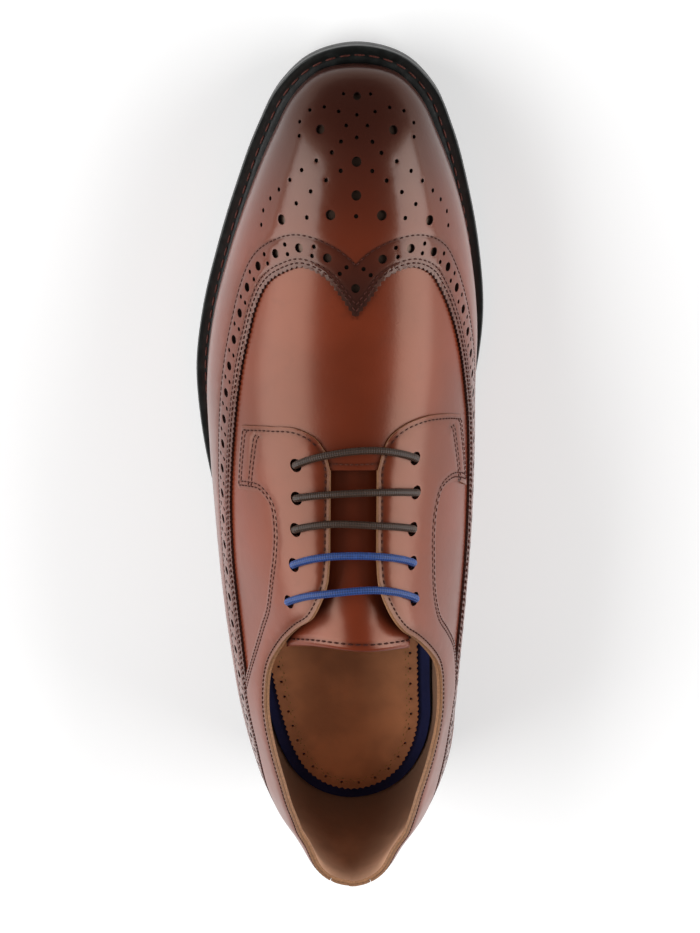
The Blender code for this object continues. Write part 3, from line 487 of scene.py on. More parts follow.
def middles(line, pitch):
    """Points halfway between even steps along a line."""
    spots = resampled(line, pitch)
    return (spots[1:] + spots[:-1]) / 2


def circle(centre, diameter, sides):
    turns = np.arange(sides) * 2 * math.pi / sides
    return np.asarray(centre) + np.stack([np.cos(turns), np.sin(turns)], 1) * diameter / 2


def wing_line(side, distance=0.0):
    """The wing's edge on one side, from the ridge to the heel, or a line that far inside the wing."""
    line = beside(smooth_line(pattern(WING[side]), EDGE_STEP), distance)
    if distance:
        inside = np.nonzero(line[:, 0] > 0)[0][0]
        if inside:
            a, b = line[inside - 1], line[inside]
            line = np.concatenate([[a + (b - a) * (-a[0] / (b[0] - a[0]))], line[inside:]])
        else:
            line[0, 0] = 0
    return line * (side, 1)


def pinked(line, pitch, depth):
    """A line cut into small teeth, with every second point moved to the left."""
    teeth = resampled(line, pitch / 2)
    moved = beside(teeth, depth)
    moved[::2] = teeth[::2]
    moved[-1] = teeth[-1]
    return moved


def wing_loop(halves):
    """One closed line from the two halves of the wings' edge."""
    lateral, medial = halves
    return np.concatenate([medial, lateral[:0:-1]])


def wing_hole(pitch):
    """Closed line round everything above the wings, with the wings' pinked edge."""
    return wing_loop(pinked(wing_line(side) * (side, 1), pitch, TOOTH_DEPTH) * (side, 1) for side in SIDES)


def wing_outline(spread):
    return moved_in(wing_loop(wing_line(side) for side in SIDES), spread)


def collar_points(half):
    """Pattern points of the collar on one side, from the facing back to the heel."""
    along = column(COLLAR_HEIGHT, 0) * SHOE_LENGTH
    height = column(COLLAR_HEIGHT, 1 if half.side == LATERAL else 2) * INSTEP_HEIGHT
    points = []
    for k in np.nonzero(half.edge_y <= along[-1])[0]:
        z = half.foot[k] + curve_through(along, height, half.edge_y[k])
        step = np.interp(z, half.grid[k, ::-1, 2], np.linspace(1, 0, LAST_STEPS))
        points.append(half.pattern_point(step * half.total[k], k))
    return np.array(points[::-1])


def opening_side(side, edge=FACING_EDGE):
    """Half of an opening: the edge of the slot, then the collar to the middle of the heel."""
    facing = pattern(edge) * (side, 1)
    rear = resampled(collar_points(last.sides[side]), COLLAR_STEP)
    rear = rear[np.linalg.norm(rear - facing[-1], axis=1) > COLLAR_START]
    slot = resampled(facing[:-3], EDGE_STEP)
    bend = smooth_line(np.concatenate([facing[-4:], rear]), EDGE_STEP)
    return np.concatenate([slot[:-1], bend])


def opening_outline(edge=FACING_EDGE[1:]):
    lateral, medial = (opening_side(side, edge) for side in SIDES)
    return np.concatenate([medial, lateral[-2::-1]])


def inside_opening(side):
    """Line of the stitches beside the slot and the collar on one side."""
    line = resampled(opening_side(side) * (side, 1), EDGE_STEP)
    return beside(line, SEAM_INSETS[0]) * (side, 1)


def join_corner(first, second):
    """Pull the facing ends of two lines to the point where they cross."""
    a, b = first[-1], second[0]
    p, q = first[-1] - first[-3], second[2] - second[0]
    turn = p[0] * q[1] - p[1] * q[0]
    if abs(turn) < TINY:
        return
    gap = b - a
    corner = a + p * ((gap[0] * q[1] - gap[1] * q[0]) / turn)
    for line, end in ((first, -1), (second, 0)):
        far = np.linalg.norm(line - line[end], axis=1)
        reach = np.linalg.norm(corner - line[end])
        line += (corner - line[end]) * np.clip(1 - far / (2 * reach + 1e-6), 0, 1)[:, None]


def eyestay_line(side, distance=0.0):
    """Front and lower edge of one facing, with its corners, or a line that far inside the facing."""
    table = EYESTAY[side]
    corners = [index for index, row in enumerate(table) if row[2]]
    pieces = [smooth_line(pattern(table[start:end + 1]), EDGE_STEP)
              for start, end in zip(corners, corners[1:])]
    if distance:
        pieces = [beside(piece, -distance) for piece in pieces]
        for first, second in zip(pieces, pieces[1:]):
            join_corner(first, second)
    return np.concatenate([pieces[0]] + [piece[1:] for piece in pieces[1:]]) * (side, 1)


def tab_ends(half):
    """Lowest and highest place of the heel tab on the pattern."""
    return half.pattern_point(half.total[0], 0)[1], collar_points(half)[-1, 1]


def tab_outline(gap):
    """Outline of the heel tab."""
    half = last.sides[MEDIAL]
    low = half.pattern_point(half.total[0] + OVERLAY_THICK, 0)[1]
    high = tab_ends(half)[1]
    top, foot = TAB_HALF * BALL_WIDTH + gap, TAB_HALF * TAB_FLARE * BALL_WIDTH + gap
    above = high + TAB_HALF * BALL_WIDTH
    corners = [(foot, low), (top, high), (top, above), (-top, above), (-top, high), (-foot, low)]
    return closed_resampled(np.array(corners), 2 * EDGE_STEP)


def feather_outline(margin):
    """Outline of the upper's pattern, moved out by a margin."""
    lateral, medial = (half.pattern_point(half.total + margin) for half in last.sides.values())
    return np.concatenate([lateral, medial[-2:0:-1]])


def inner_outline(inset):
    """Closed plan line inside the upper's lower edge."""
    lateral, medial = (half.edge_inside(inset) for half in last.sides.values())
    return np.concatenate([medial, lateral[-2:0:-1]])


def sole_outline(inset, front=None):
    """Closed plan line of the sole, moved in by an inset and cut off in front of a place."""
    y = stations(SOLE_EDGE, 150)
    line = []
    for side in SIDES:
        half = half_width(SOLE_EDGE, side, y)
        half[[0, -1]] = 0
        line.append(np.stack([side * half, y], 1))
    loop = moved_in(np.concatenate([line[1], line[0][-2:0:-1]]), inset)
    if front:
        halves = []
        for inner in (True, False):
            half = loop[(loop[:, 0] >= 0) == inner]
            half = half[np.argsort(half[:, 1])]
            end = np.interp(front, half[:, 1], half[:, 0]), front
            halves.append(np.concatenate([half[half[:, 1] < front], [end]]))
        loop = np.concatenate([halves[0], halves[1][::-1]])
    return closed_resampled(loop, 0.0015)


def eyelet_place(number, side):
    """Distance from the middle and place along the shoe of an eyelet."""
    across, along = EYELETS[number][:2] if side == LATERAL else EYELETS[number][2:4]
    return across * BALL_WIDTH, along * SHOE_LENGTH


def eyelet_centres(side):
    return np.array([eyelet_place(number, side) for number in range(len(EYELETS))]) * (side, 1)


def band_holes(large, small):
    """Round holes along the wings: large ones, with pairs of small ones between them."""
    holes = []
    for side in SIDES:
        line = wing_line(side, BAND_MIDDLE)
        arc = arc_of(line)
        out = beside(line * (side, 1), 1) * (side, 1) - line
        places = [0.0, FIRST_HOLE]
        while places[-1] + HOLE_PITCH < arc[-1] - LAST_HOLE:
            places.append(places[-1] + HOLE_PITCH)
        shown = places if side == MEDIAL else places[1:]
        holes += [(read_along(line, arc, place), large, LARGE_SIDES) for place in shown]
        for start, end in zip(places, places[1:]):
            centre, away = (read_along(values, arc, (start + end) / 2) for values in (line, out))
            holes += [(centre + away * step, small, SMALL_SIDES) for step in (-PAIR_HALF, PAIR_HALF)]
    return holes


def ornament_holes(large, small):
    return [(np.array([side * across, along]) / 1000, large if big else small,
             LARGE_SIDES if big else SMALL_SIDES)
            for across, along, big in TOE_ORNAMENT for side in (SIDES if across else (MEDIAL,))]


def band_seams(band_width):
    """Lines along the wings: a double row at the pinked edge and one row at the far side of the band."""
    return [wing_line(side, distance) for side in SIDES for distance in (*PINKED_ROWS, band_width)]


def facing_seams(side):
    """Rows on one facing: round its edge, two along the lower edge and the tab's bars; then the opening's."""
    table = EYESTAY[side]
    corners = pattern([row for row in table if row[2]])
    outer, inner = (eyestay_line(side, distance) * (side, 1) for distance in SEAM_INSETS)
    front, back = (int(np.argmin(np.linalg.norm(outer - corner, axis=1))) for corner in corners[1:3])
    inner_back = int(np.argmin(np.linalg.norm(inner - corners[2], axis=1)))
    rows = [outer[3:front + 1], outer[front:back + 1], outer[back:], inner[inner_back:]]
    rows += [outer[front - 2:back - 3] + (-step, 0.0002) for step in TAB_BARS]
    return [row * (side, 1) for row in rows], inside_opening(side)


def tab_seams():
    """Two rows down each side of the heel tab."""
    low, high = tab_ends(last.sides[MEDIAL])
    rows = []
    for side in SIDES:
        for inset in TAB_ROWS:
            top, foot = TAB_HALF * BALL_WIDTH - inset, TAB_HALF * TAB_FLARE * BALL_WIDTH - inset
            ends = (side * foot, low + 0.002), (side * top, high - 0.003)
            rows.append(resampled(np.array(ends), EDGE_STEP))
    return rows


def vamp_seam(share=1.0):
    """Row across the vamp in front of the slot."""
    return resampled(np.array([(-1, 1), (1, 1)]) * (FACING_EDGE[1][0] * BALL_WIDTH * share, 0)
                     + (0, FACING_EDGE[1][1] * SHOE_LENGTH + 0.0022), EDGE_STEP)


def guide_rows(lines, spread=0.0008):
    """Points on and beside seams, so that the mesh can carry their grooves."""
    lines = [resampled(line, 1.2 * EDGE_STEP) for line in lines]
    return [row for line in lines for row in (line, beside(line, spread), beside(line, -spread))]


# ---- meshes

def nearest(lines, points):
    """Distance from each point to the nearest point of some lines; without lines it is FAR."""
    if not lines:
        return np.full(len(points), FAR)
    spots = np.concatenate(lines)
    tree = KDTree(len(spots))
    for index, spot in enumerate(spots):
        tree.insert((spot[0], spot[1], 0), index)
    tree.balance()
    return np.array([tree.find((p[0], p[1], 0))[2] for p in points])


def triangulated(inside, holes, guides=(), spacing=GRID):
    """Even triangles inside all of some closed lines and outside the holes, with points along the guides."""
    loops = [loop[::turn_of(loop)] for loop in [*inside, *holes]]
    low, high = inside[0].min(0), inside[0].max(0)
    grid = []
    for number, y in enumerate(np.arange(low[1], high[1], spacing * math.sqrt(3) / 2)):
        xs = np.arange(low[0] + (number % 2) * spacing / 2, high[0], spacing)
        grid.append(np.stack([xs, np.full(len(xs), y)], 1))
    grid = np.concatenate(grid)
    guides = np.concatenate([np.empty((0, 2)), *guides])
    guides = guides[nearest(loops, guides) > 0.4 * EDGE_STEP]
    grid = grid[nearest(loops + [guides], grid) > 0.55 * spacing]
    verts, faces = [], []
    for loop in loops:
        faces.append(list(range(len(verts), len(verts) + len(loop))))
        verts += [tuple(p) for p in loop]
    verts += [tuple(p) for p in np.concatenate([guides, grid])]
    found = delaunay_2d_cdt(verts, [], faces, 1, 1e-7)
    wanted = set(range(len(inside)))
    kept = [list(face) for face, source in zip(found[2], found[5]) if set(source) == wanted]
    used = sorted({v for face in kept for v in face})
    order = {v: i for i, v in enumerate(used)}
    return np.array([found[0][v] for v in used]), [[order[v] for v in face] for face in kept]


def new_object(name, verts, faces, look, indices=None):
    """A mesh object at the origin from design coordinates, with its materials."""
    data = bpy.data.meshes.new(name)
    data.from_pydata([tuple(v) for v in np.asarray(verts) + ORIGIN], [], faces)
    for material in look:
        data.materials.append(material)
    if indices is not None:
        data.polygons.foreach_set("material_index", indices)
    data.update()
    piece = bpy.data.objects.new(name, data)
    bpy.context.scene.collection.objects.link(piece)
    return piece


def smoothed(piece, crease=50):
    """Smooth shading with edges kept where faces meet at more than an angle."""
    piece.data.shade_smooth()
    piece.data.set_sharp_from_angle(angle=math.radians(crease))


def closed_shell(name, top, under, faces, look, crease=40):
    """A closed wall between two sheets of the same faces; look is for outside, inside and cut edge."""
    count = len(top)
    edges = dict.fromkeys((a, b) for face in faces for a, b in zip(face, face[1:] + face[:1]))
    rim = [(b, a, a + count, b + count) for a, b in edges if (b, a) not in edges]
    back = [[v + count for v in reversed(face)] for face in faces]
    indices = [0] * len(faces) + [min(1, len(look) - 1)] * len(back) + [len(look) - 1] * len(rim)
    piece = new_object(name, np.concatenate([top, under]), faces + back + rim, look, indices)
    smoothed(piece, crease)
    return piece


def mark(piece, name, values):
    """Store a number for every vertex; a closed wall repeats the outside's numbers inside."""
    values = np.asarray(values, float)
    if len(values) * 2 == len(piece.data.vertices):
        values = np.concatenate([values, values])
    piece.data.attributes.new(name, "FLOAT", "POINT").data.foreach_set("value", values)


def finish_piece(piece, slot, *nodes):
    """Put a piece on the shoe, in place of its CAD nodes."""
    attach(piece, "root")
    if nodes:
        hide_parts(*nodes)


def rounded(piece, width):
    """Bevel the sharp edges of a piece and shade it smoothly."""
    bpy.ops.object.select_all(action="DESELECT")
    bpy.context.view_layer.objects.active = piece
    piece.select_set(True)
    bpy.ops.object.modifier_add(type="BEVEL")
    bevel = piece.modifiers[-1]
    bevel.width, bevel.segments = width, 3
    bevel.limit_method, bevel.angle_limit = "ANGLE", math.radians(60)
    bpy.ops.object.modifier_apply(modifier=bevel.name)
    piece.select_set(False)
    smoothed(piece)


def on_tread(flat, level):
    """Plan points lifted to a level above the underside of the sole."""
    return np.column_stack([flat, tread_height(flat[:, 1]) + level])


def plate(name, outline, level, thickness, look, rounding=0, holes=(), spacing=0.006):
    """A plate that follows the height of the tread, with its edges rounded when a rounding is given."""
    flat, faces = triangulated([outline], holes, spacing=spacing)
    under = on_tread(flat, level)
    piece = closed_shell(name, under + (0, 0, thickness), under, faces, look)
    if rounding:
        rounded(piece, rounding)
    return piece


# ---- shaders

class Term:
    """A number that changes over a surface: a socket that takes part in sums."""

    def __init__(self, finish, socket):
        self.finish, self.socket = finish, socket

    def __add__(self, other):
        return self.finish.math("ADD", self, other)

    __radd__ = __add__

    def __sub__(self, other):
        return self.finish.math("SUBTRACT", self, other)

    def __rsub__(self, other):
        return self.finish.math("SUBTRACT", other, self)

    def __mul__(self, other):
        return self.finish.math("MULTIPLY", self, other)

    def sine(self):
        return self.finish.math("SINE", self)

    def between(self, low, high):
        """0 below low, 1 above high and smooth between them; the other way round if low is above high."""
        ramp = self.finish.add("ShaderNodeMapRange", {"interpolation_type": "SMOOTHSTEP"},
                               {0: self, 1: min(low, high), 2: max(low, high)})
        share = Term(self.finish, ramp.outputs[0])
        return share if low <= high else 1 - share


class Finish:
    """One material: a Principled shader and the nodes that vary it over the surface."""

    def __init__(self, name, colour, **constants):
        self.material = bpy.data.materials.new(name)
        self.material.use_nodes = True
        self.tree = self.material.node_tree
        self.shader = self.tree.nodes["Principled BSDF"]
        self.shader.inputs["Base Color"].default_value = (*colour, 1)
        for socket, value in constants.items():
            self.shader.inputs[socket.replace("_", " ").title().replace("Ior", "IOR")].default_value = value
        self.place = Term(self, self.add("ShaderNodeTexCoord").outputs["Object"])

    def put(self, socket, value):
        if isinstance(value, Term):
            self.tree.links.new(value.socket, socket)
        else:
            socket.default_value = value

    def add(self, kind, settings=None, inputs=None):
        node = self.tree.nodes.new(kind)
        for key, value in (settings or {}).items():
            setattr(node, key, value)
        for key, value in (inputs or {}).items():
            self.put(node.inputs[key], value)
        return node

    def math(self, operation, *values):
        node = self.add("ShaderNodeMath", {"operation": operation}, dict(enumerate(values)))
        return Term(self, node.outputs[0])

    def axes(self, vector=None):
        node = self.add("ShaderNodeSeparateXYZ", inputs={0: vector or self.place})
        return [Term(self, output) for output in node.outputs]

    def noise(self, size, detail=3.0, rough=0.5):
        """Soft random cloud whose features are about a size across."""
        node = self.add("ShaderNodeTexNoise", inputs={
            "Vector": self.place, "Scale": 1 / size, "Detail": detail, "Roughness": rough})
        return Term(self, node.outputs["Fac"])

    def cells(self, size):
        """Distance to the nearest of many scattered points, for pebbled grain."""
        node = self.add("ShaderNodeTexVoronoi", {"feature": "SMOOTH_F1"}, {
            "Vector": self.place, "Scale": 1 / size, "Smoothness": 0.6})
        return Term(self, node.outputs["Distance"])

    def marked(self, name):
        node = self.add("ShaderNodeAttribute", {"attribute_name": name})
        return Term(self, node.outputs["Fac"])

    def mixed(self, first, second, share):
        """A colour between two others."""
        ends = [value if isinstance(value, Term) else (*value, 1) for value in (first, second)]
        node = self.add("ShaderNodeMix", {"data_type": "RGBA"}, {0: share, 6: ends[0], 7: ends[1]})
        return Term(self, node.outputs[2])

    def toned(self, colour, dark, pale, share):
        """A colour that goes from darker to paler."""
        return self.mixed(shade(colour, dark), shade(colour, pale), share)

    def vary(self, socket, value):
        self.tree.links.new(value.socket, self.shader.inputs[socket])

    def relief(self, *layers):
        """Bumps in metres, each (height term, depth), on the surface."""
        height = None
        for term, depth in layers:
            part = term * (depth * 1000)
            height = part if height is None else height + part
        node = self.add("ShaderNodeBump", inputs={"Strength": 1.0, "Distance": 0.001, "Height": height})
        self.vary("Normal", Term(self, node.outputs[0]))


def shade(colour, factor):
    return tuple(part * factor for part in colour)


def calf_leather(look, name="calf leather", depth=1.0, toe=1.0, edge=None, wing=False):
    """Polished calf: browner and paler clouds, dark toe, darkened edges and seams, painted shade where the
    wings' holes show the upper, very fine grain.
    """
    base, dark = look.leather_colour, look.toe_colour
    finish = Finish(name, base, coat_weight=look.polish, coat_roughness=0.16 if wing else 0.28,
                    specular_ior_level=0.42 if wing else 0.60, specular_tint=(1.0, 0.64, 0.48, 1.0))
    along = finish.axes()[1]
    clouds = finish.noise(0.045)
    mottle = finish.noise(0.006, 4.0, 0.6)
    tip = (along + (clouds - 0.5) * 0.02).between(look.burnish_start, look.burnish_end) * toe
    colour = finish.toned(base, 0.82 * depth, 1.18 * depth, clouds.between(0.3, 0.7))
    for tone, share in ((shade(base, 0.7 * depth), mottle.between(0.50, 0.85) * 0.35),
                        (dark, tip * 0.93),
                        (shade(dark, 1.1), finish.marked("band")),
                        (edge or shade(dark, 0.8), finish.marked("edge") * 0.6),
                        (shade(dark, 0.5), finish.marked("seam") * 0.45),
                        # painted shade: the upper goes dark where the wings' punched holes show it
                        (look.hole_shade_colour, finish.marked("under"))):
        colour = finish.mixed(colour, tone, share)
    finish.vary("Base Color", colour)
    finish.vary("Roughness", look.leather_roughness + (mottle - 0.5) * 0.10 + finish.marked("edge") * 0.10)
    if wing:
        finish.vary("Coat Weight", along.between(0.146, 0.116) * 0.42)
    finish.relief((finish.cells(0.0009), 0.000010), (finish.noise(0.0025), 0.000022),
                  (finish.noise(0.02, 2.0), 0.00010))
    return finish.material


def cut_edge(look, name, colour):
    finish = Finish(name, colour, roughness=0.55)
    fibre = finish.noise(0.0009, 4.0, 0.7)
    worn = finish.toned(colour, 0.7, 1.15, fibre.between(0.3, 0.7))
    finish.vary("Base Color", finish.mixed(worn, look.toe_colour, finish.marked("hole")))
    finish.relief((fibre, 0.00006))
    return finish.material


def lining(look):
    """Tan leather round the heel, with painted shade that darkens it lower down inside the shoe; dark woven
    cloth further forward.
    """
    leather = look.lining_colour
    finish = Finish("lining", leather)
    x, y, z = finish.axes()
    clouds = finish.noise(0.012, 4.0)
    front = y.between(-0.0735, -0.0725)
    tan = finish.toned(leather, 0.85, 1.1, clouds.between(0.3, 0.7))
    # painted shade: the tan darkens lower down inside the shoe and pales towards the rim
    tan = finish.mixed(shade(leather, 0.5), tan, (z + (clouds - 0.5) * 0.01).between(0.030, 0.080))
    weave = ((x * 5200).sine() * (y * 5200 + z * 2600).sine()).between(-0.6, 0.9)
    dark = finish.toned(look.cloth_colour, 0.6, 1.8, weave)
    finish.vary("Base Color", finish.mixed(tan, dark, front))
    finish.vary("Roughness", front * 0.22 + 0.58)
    finish.relief((weave * front, 0.00012), (finish.noise(0.0015) * (1 - front), 0.00006))
    return finish.material


def waxed_black(look, name="waxed black", roughness=0.42, lift_height=0.0):
    """Black leather edge, slightly green and grey, with rubbed streaks, or stacked in lifts."""
    base = look.welt_colour
    finish = Finish(name, base)
    streaks = finish.noise(0.004, 4.0, 0.6)
    colour = finish.toned(base, 0.7, 2.0, streaks.between(0.45, 0.8))
    finish.vary("Roughness", (streaks - 0.5) * 0.25 + roughness)
    layer = finish.noise(0.001, 2.0), 0.00003
    if lift_height:
        lift = (finish.axes()[2] * (2 * math.pi / lift_height)).sine().between(0.80, 1.0)
        colour = finish.mixed(colour, shade(base, 0.35), lift)
        layer = lift, -0.00015
    finish.relief((streaks, 0.00005), layer)
    finish.vary("Base Color", colour)
    return finish.material


def sole_leather(look):
    """Underside of the sole: dark leather with scuffed grain."""
    base = look.tread_colour
    finish = Finish("tread", base, roughness=0.6)
    grain = finish.noise(0.003, 5.0, 0.65)
    colour = finish.toned(base, 0.7, 1.4, finish.noise(0.03).between(0.3, 0.7))
    finish.vary("Base Color", finish.mixed(colour, shade(base, 1.8), grain.between(0.6, 0.85) * 0.5))
    finish.relief((grain, 0.00012), (finish.cells(0.0012), 0.00004))
    return finish.material


def suede(name, colour):
    """Matt fibrous lining of the footbed."""
    finish = Finish(name, colour, roughness=0.85, specular_ior_level=0.25)
    fibre = finish.noise(0.0012, 4.0, 0.7)
    tone = finish.toned(colour, 0.8, 1.2, finish.noise(0.02).between(0.3, 0.7))
    finish.vary("Base Color", finish.mixed(tone, shade(colour, 1.5), fibre.between(0.55, 0.8) * 0.5))
    finish.relief((fibre, 0.00010))
    return finish.material


def pad_leather(colour):
    """Smooth tan leather, darker at its cut edges."""
    finish = Finish("heel pad leather", colour)
    clouds = finish.noise(0.02)
    tone = finish.toned(colour, 0.85, 1.15, clouds.between(0.3, 0.7))
    finish.vary("Base Color", finish.mixed(tone, shade(colour, 0.55), finish.marked("edge") * 0.5))
    finish.vary("Roughness", (clouds - 0.5) * 0.15 + 0.48)
    finish.relief((finish.cells(0.0011), 0.00003), (finish.noise(0.002), 0.00004))
    return finish.material


def thread(name, colour):
    finish = Finish(name, colour, roughness=0.6, specular_ior_level=0.12)
    finish.vary("Base Color", finish.toned(colour, 0.6, 1.4, finish.noise(0.0004, 2.0).between(0.35, 0.65)))
    return finish.material


def waxed_cord(name, colour):
    """Round waxed lace: a fine braid that follows the cord, with a worn waxy sheen."""
    finish = Finish(name, colour, coat_weight=0.06, coat_roughness=0.35, specular_ior_level=0.35)
    uv = finish.add("ShaderNodeUVMap", {"uv_map": "along_cord"})
    run, turn, _ = finish.axes(Term(finish, uv.outputs[0]))
    run, turn = run * (2 * math.pi / BRAID_PITCH), turn * (8 * math.pi)
    braid = ((run + turn).sine() * (run - turn).sine()).between(-0.7, 0.8)
    wear = finish.noise(0.004, 4.0, 0.65)
    tone = finish.toned(colour, 0.55, 1.15, braid)
    finish.vary("Base Color", finish.mixed(tone, shade(colour, 2.0), wear.between(0.52, 0.8) * 0.4))
    finish.vary("Roughness", wear * 0.2 + 0.38)
    finish.relief((braid, 0.00012))
    return finish.material


# ---- what a user may change

def length_setting(name, description, default):
    return bpy.props.FloatProperty(name=name, description=description, default=default, unit="LENGTH",
                                   precision=5)


def share_setting(name, description, default):
    return bpy.props.FloatProperty(name=name, description=description, default=default, min=0, max=1,
                                   subtype="FACTOR")


def colour_setting(name, surface, default):
    return bpy.props.FloatVectorProperty(name=name, description="Colour of the " + surface, default=default,
                                         subtype="COLOR", min=0, max=1)


class ShoeSizes(bpy.types.PropertyGroup):
    large_hole: length_setting("Large hole", "Diameter of the large punched holes", 0.0030)
    small_hole: length_setting("Small hole", "Diameter of the small punched holes", 0.0015)
    pinking: length_setting("Pinking", "Pitch of the teeth along the wings' edge", 0.0020)
    seam_pitch: length_setting("Seam pitch", "Distance from stitch to stitch in the upper", 0.0021)
    welt_pitch: length_setting("Welt pitch", "Distance from stitch to stitch in the welt", 0.0050)
    thread_width: length_setting("Thread", "Thickness of the upper's thread", 0.00055)
    band_width: length_setting("Band", "Width of the punched band along the wings", 0.0106)


class ShoeLook(bpy.types.PropertyGroup):
    leather_colour: colour_setting("Leather", "calf leather", (0.150, 0.0240, 0.0082))
    toe_colour: colour_setting("Dark polish", "burnished toe and edges", (0.030, 0.0075, 0.0050))
    # painted shade: the colour the upper takes inside the wings' punched holes
    hole_shade_colour: colour_setting("Hole shade", "painted shade behind the punched holes", (0.030, 0.018, 0.012))
    edge_colour: colour_setting("Cut edge", "collar's and facings' edge", (0.34, 0.160, 0.075))
    # painted light: set paler than the lining's own tan, to make up for the dim light inside the shoe
    lining_colour: colour_setting("Lining", "leather lining", (0.66, 0.385, 0.250))
    cloth_colour: colour_setting("Cloth lining", "cloth lining", (0.010, 0.012, 0.022))
    insole_colour: colour_setting("Insole", "insole", (0.017, 0.024, 0.095))
    # painted light: set paler than the pad's own tan, to make up for the dim light inside the shoe
    pad_colour: colour_setting("Heel pad", "heel pad", (0.64, 0.285, 0.135))
    welt_colour: colour_setting("Welt", "welt and the sole's edge", (0.0075, 0.0090, 0.0085))
    tread_colour: colour_setting("Tread", "sole's underside", (0.030, 0.022, 0.018))
    thread_colour: colour_setting("Thread", "upper's thread", (0.060, 0.016, 0.011))
    welt_thread_colour: colour_setting("Welt thread", "welt's thread", (0.085, 0.026, 0.020))
    front_lace_colour: colour_setting("Front lace", "three front bars", (0.044, 0.022, 0.013))
    rear_lace_colour: colour_setting("Rear lace", "two rear bars", (0.024, 0.064, 0.235))
    floor_colour: colour_setting("Floor", "floor", (0.86, 0.86, 0.86))
    leather_roughness: share_setting("Roughness", "Roughness of the leather", 0.30)
    polish: share_setting("Polish", "Strength of the wax coat", 0.12)
    burnish_start: length_setting("Burnish start", "Distance from the middle where the toe darkens", 0.078)
    burnish_end: length_setting("Burnish end", "Distance from the middle where the toe is darkest", 0.140)
    light_power: bpy.props.FloatProperty(name="Light", description="Power of each side light", default=11.3,
                                         min=0, unit="POWER")


# ---- pieces

def overlay(name, inside, holes, own_edges, open_edges, seams, look, drilled=(), edge_width=0.0008,
            own_edge=1.0):
    """One cut piece of leather over the upper, thinned at its edges, grooved at its seams and punched."""
    punched = [circle(*hole) for hole in drilled]
    rings = [circle(centre, size + room, sides) for centre, size, sides in drilled for room in HOLE_RINGS]
    flat, faces = triangulated(inside, [*holes, *punched], guide_rows(seams) + rings)
    place, normal = last.frames(flat)
    to_edge, to_open = nearest(own_edges, flat), nearest(open_edges, flat)
    to_seam = nearest([resampled(line, FINE_STEP) for line in seams], flat)
    to_hole = nearest(punched, flat)
    thick = OVERLAY_TOP - CLEAR
    height = CLEAR + thick * (1 - SKIVED + SKIVED * smooth_step(to_edge, 0, 0.0016))
    height -= thick * SKIVED * (1 - smooth_step(to_open, 0, 0.005)) * (to_edge > 0.0002)
    height -= GROOVE * fades(to_seam, GROOVE_WIDTH)
    height -= 0.00005 * (1 - smooth_step(to_hole, 0, 0.00025))
    height = np.maximum(height, CLEAR + 0.0005)
    piece = closed_shell(name, place + normal * height[:, None], place + normal * CLEAR, faces, look)
    mark(piece, "edge", np.maximum(fades(to_open, edge_width), own_edge * fades(to_edge, 0.0008)))
    mark(piece, "seam", fades(to_seam, SEAM_SHADE))
    mark(piece, "hole", to_hole < 0.0001)
    return piece, flat


def hole_shade_under_wings(flat):
    """Share of painted shade on the upper: 1 where the wings cover it and their holes show it, 0 on the open
    leather.
    """
    hole = wing_outline(0)[::6]
    inside = np.zeros(len(flat), bool)
    for a, b in zip(hole, np.roll(hole, -1, axis=0)):
        crosses = (a[1] > flat[:, 1]) != (b[1] > flat[:, 1])
        rise = b[1] - a[1] if b[1] != a[1] else TINY
        inside ^= crosses & (flat[:, 0] < (b[0] - a[0]) * (flat[:, 1] - a[1]) / rise + a[0])
    return np.where(inside, 0.0, smooth_step(nearest([wing_outline(0)], flat), 0.0008, 0.0030))


def upper_piece(name, look):
    """The hollow wall: leather outside, lining inside, tan cut edge; thinner towards the collar."""
    opening = opening_outline()
    punched = [circle(centre, EYELET_DIAMETER * 0.93, 14)
               for side in SIDES for centre in eyelet_centres(side)]
    seam = vamp_seam()
    flat, faces = triangulated([closed_resampled(feather_outline(0), 0.0016)], [opening] + punched,
                               guide_rows([seam]))
    place, normal = last.frames(flat)
    to_seam = nearest([resampled(seam, FINE_STEP)], flat)
    wall = WALL_THICK * (0.55 + 0.45 * smooth_step(nearest([opening], flat), 0, 0.007))
    top = place - normal * (GROOVE * fades(to_seam, GROOVE_WIDTH))[:, None]
    piece = closed_shell(name, top, place - normal * wall[:, None], faces, look)
    # the "under" mark is painted shade where the wings' holes show the upper
    for attribute, values in (("edge", np.zeros(len(flat))), ("seam", fades(to_seam, SEAM_SHADE)),
                              ("under", hole_shade_under_wings(flat)), ("hole", nearest(punched, flat) < 0.0001)):
        mark(piece, attribute, values)
    return piece


def tongue_depth(along):
    """Depth of the tongue's face under the upper's outer surface."""
    lace_room = LACE_DIAMETER + 2 * LACE_GAP
    share = along / SHOE_LENGTH
    high = np.clip((share - TONGUE_DEEP_FROM) / (TONGUE_HIGH_FROM - TONGUE_DEEP_FROM), 0, 1)
    free = np.clip((TONGUE_FREE_FROM - share) / (TONGUE_FREE_FROM - TONGUE_EDGE[0][0]), 0, 1)
    return WALL_THICK + lace_room + (INSIDE_GAP - lace_room) * smooth_step(max(high, free), 0, 1)


def tongue_row(along, share):
    """Pattern points across the tongue at a place along its middle, at shares of its half-width."""
    table = column(TONGUE_EDGE, 0) * SHOE_LENGTH
    lateral, medial, lateral_back, medial_back = (
        float(curve_through(table, column(TONGUE_EDGE, index), along)) for index in (1, 2, 3, 4))
    width = np.where(share < 0, lateral, medial) * BALL_WIDTH
    back = np.where(share < 0, lateral_back, medial_back) * SHOE_LENGTH
    return np.stack([share * width, along - back * share**2], 1)


def tongue_rows(along, columns):
    """Grid of points on the tongue's face, smooth across the ridge."""
    coarse, fine = np.linspace(-1, 1, 11), np.linspace(-1, 1, columns)
    rows = []
    for y in along:
        place, normal = last.frames(tongue_row(y, coarse))
        row = place - normal * tongue_depth(y)
        for _ in range(5):
            row[1:-1] = (row[:-2] + 2 * row[1:-1] + row[2:]) / 4
        rows.append(np.stack([curve_through(coarse, values, fine) for values in row.T], 1))
    return np.array(rows)


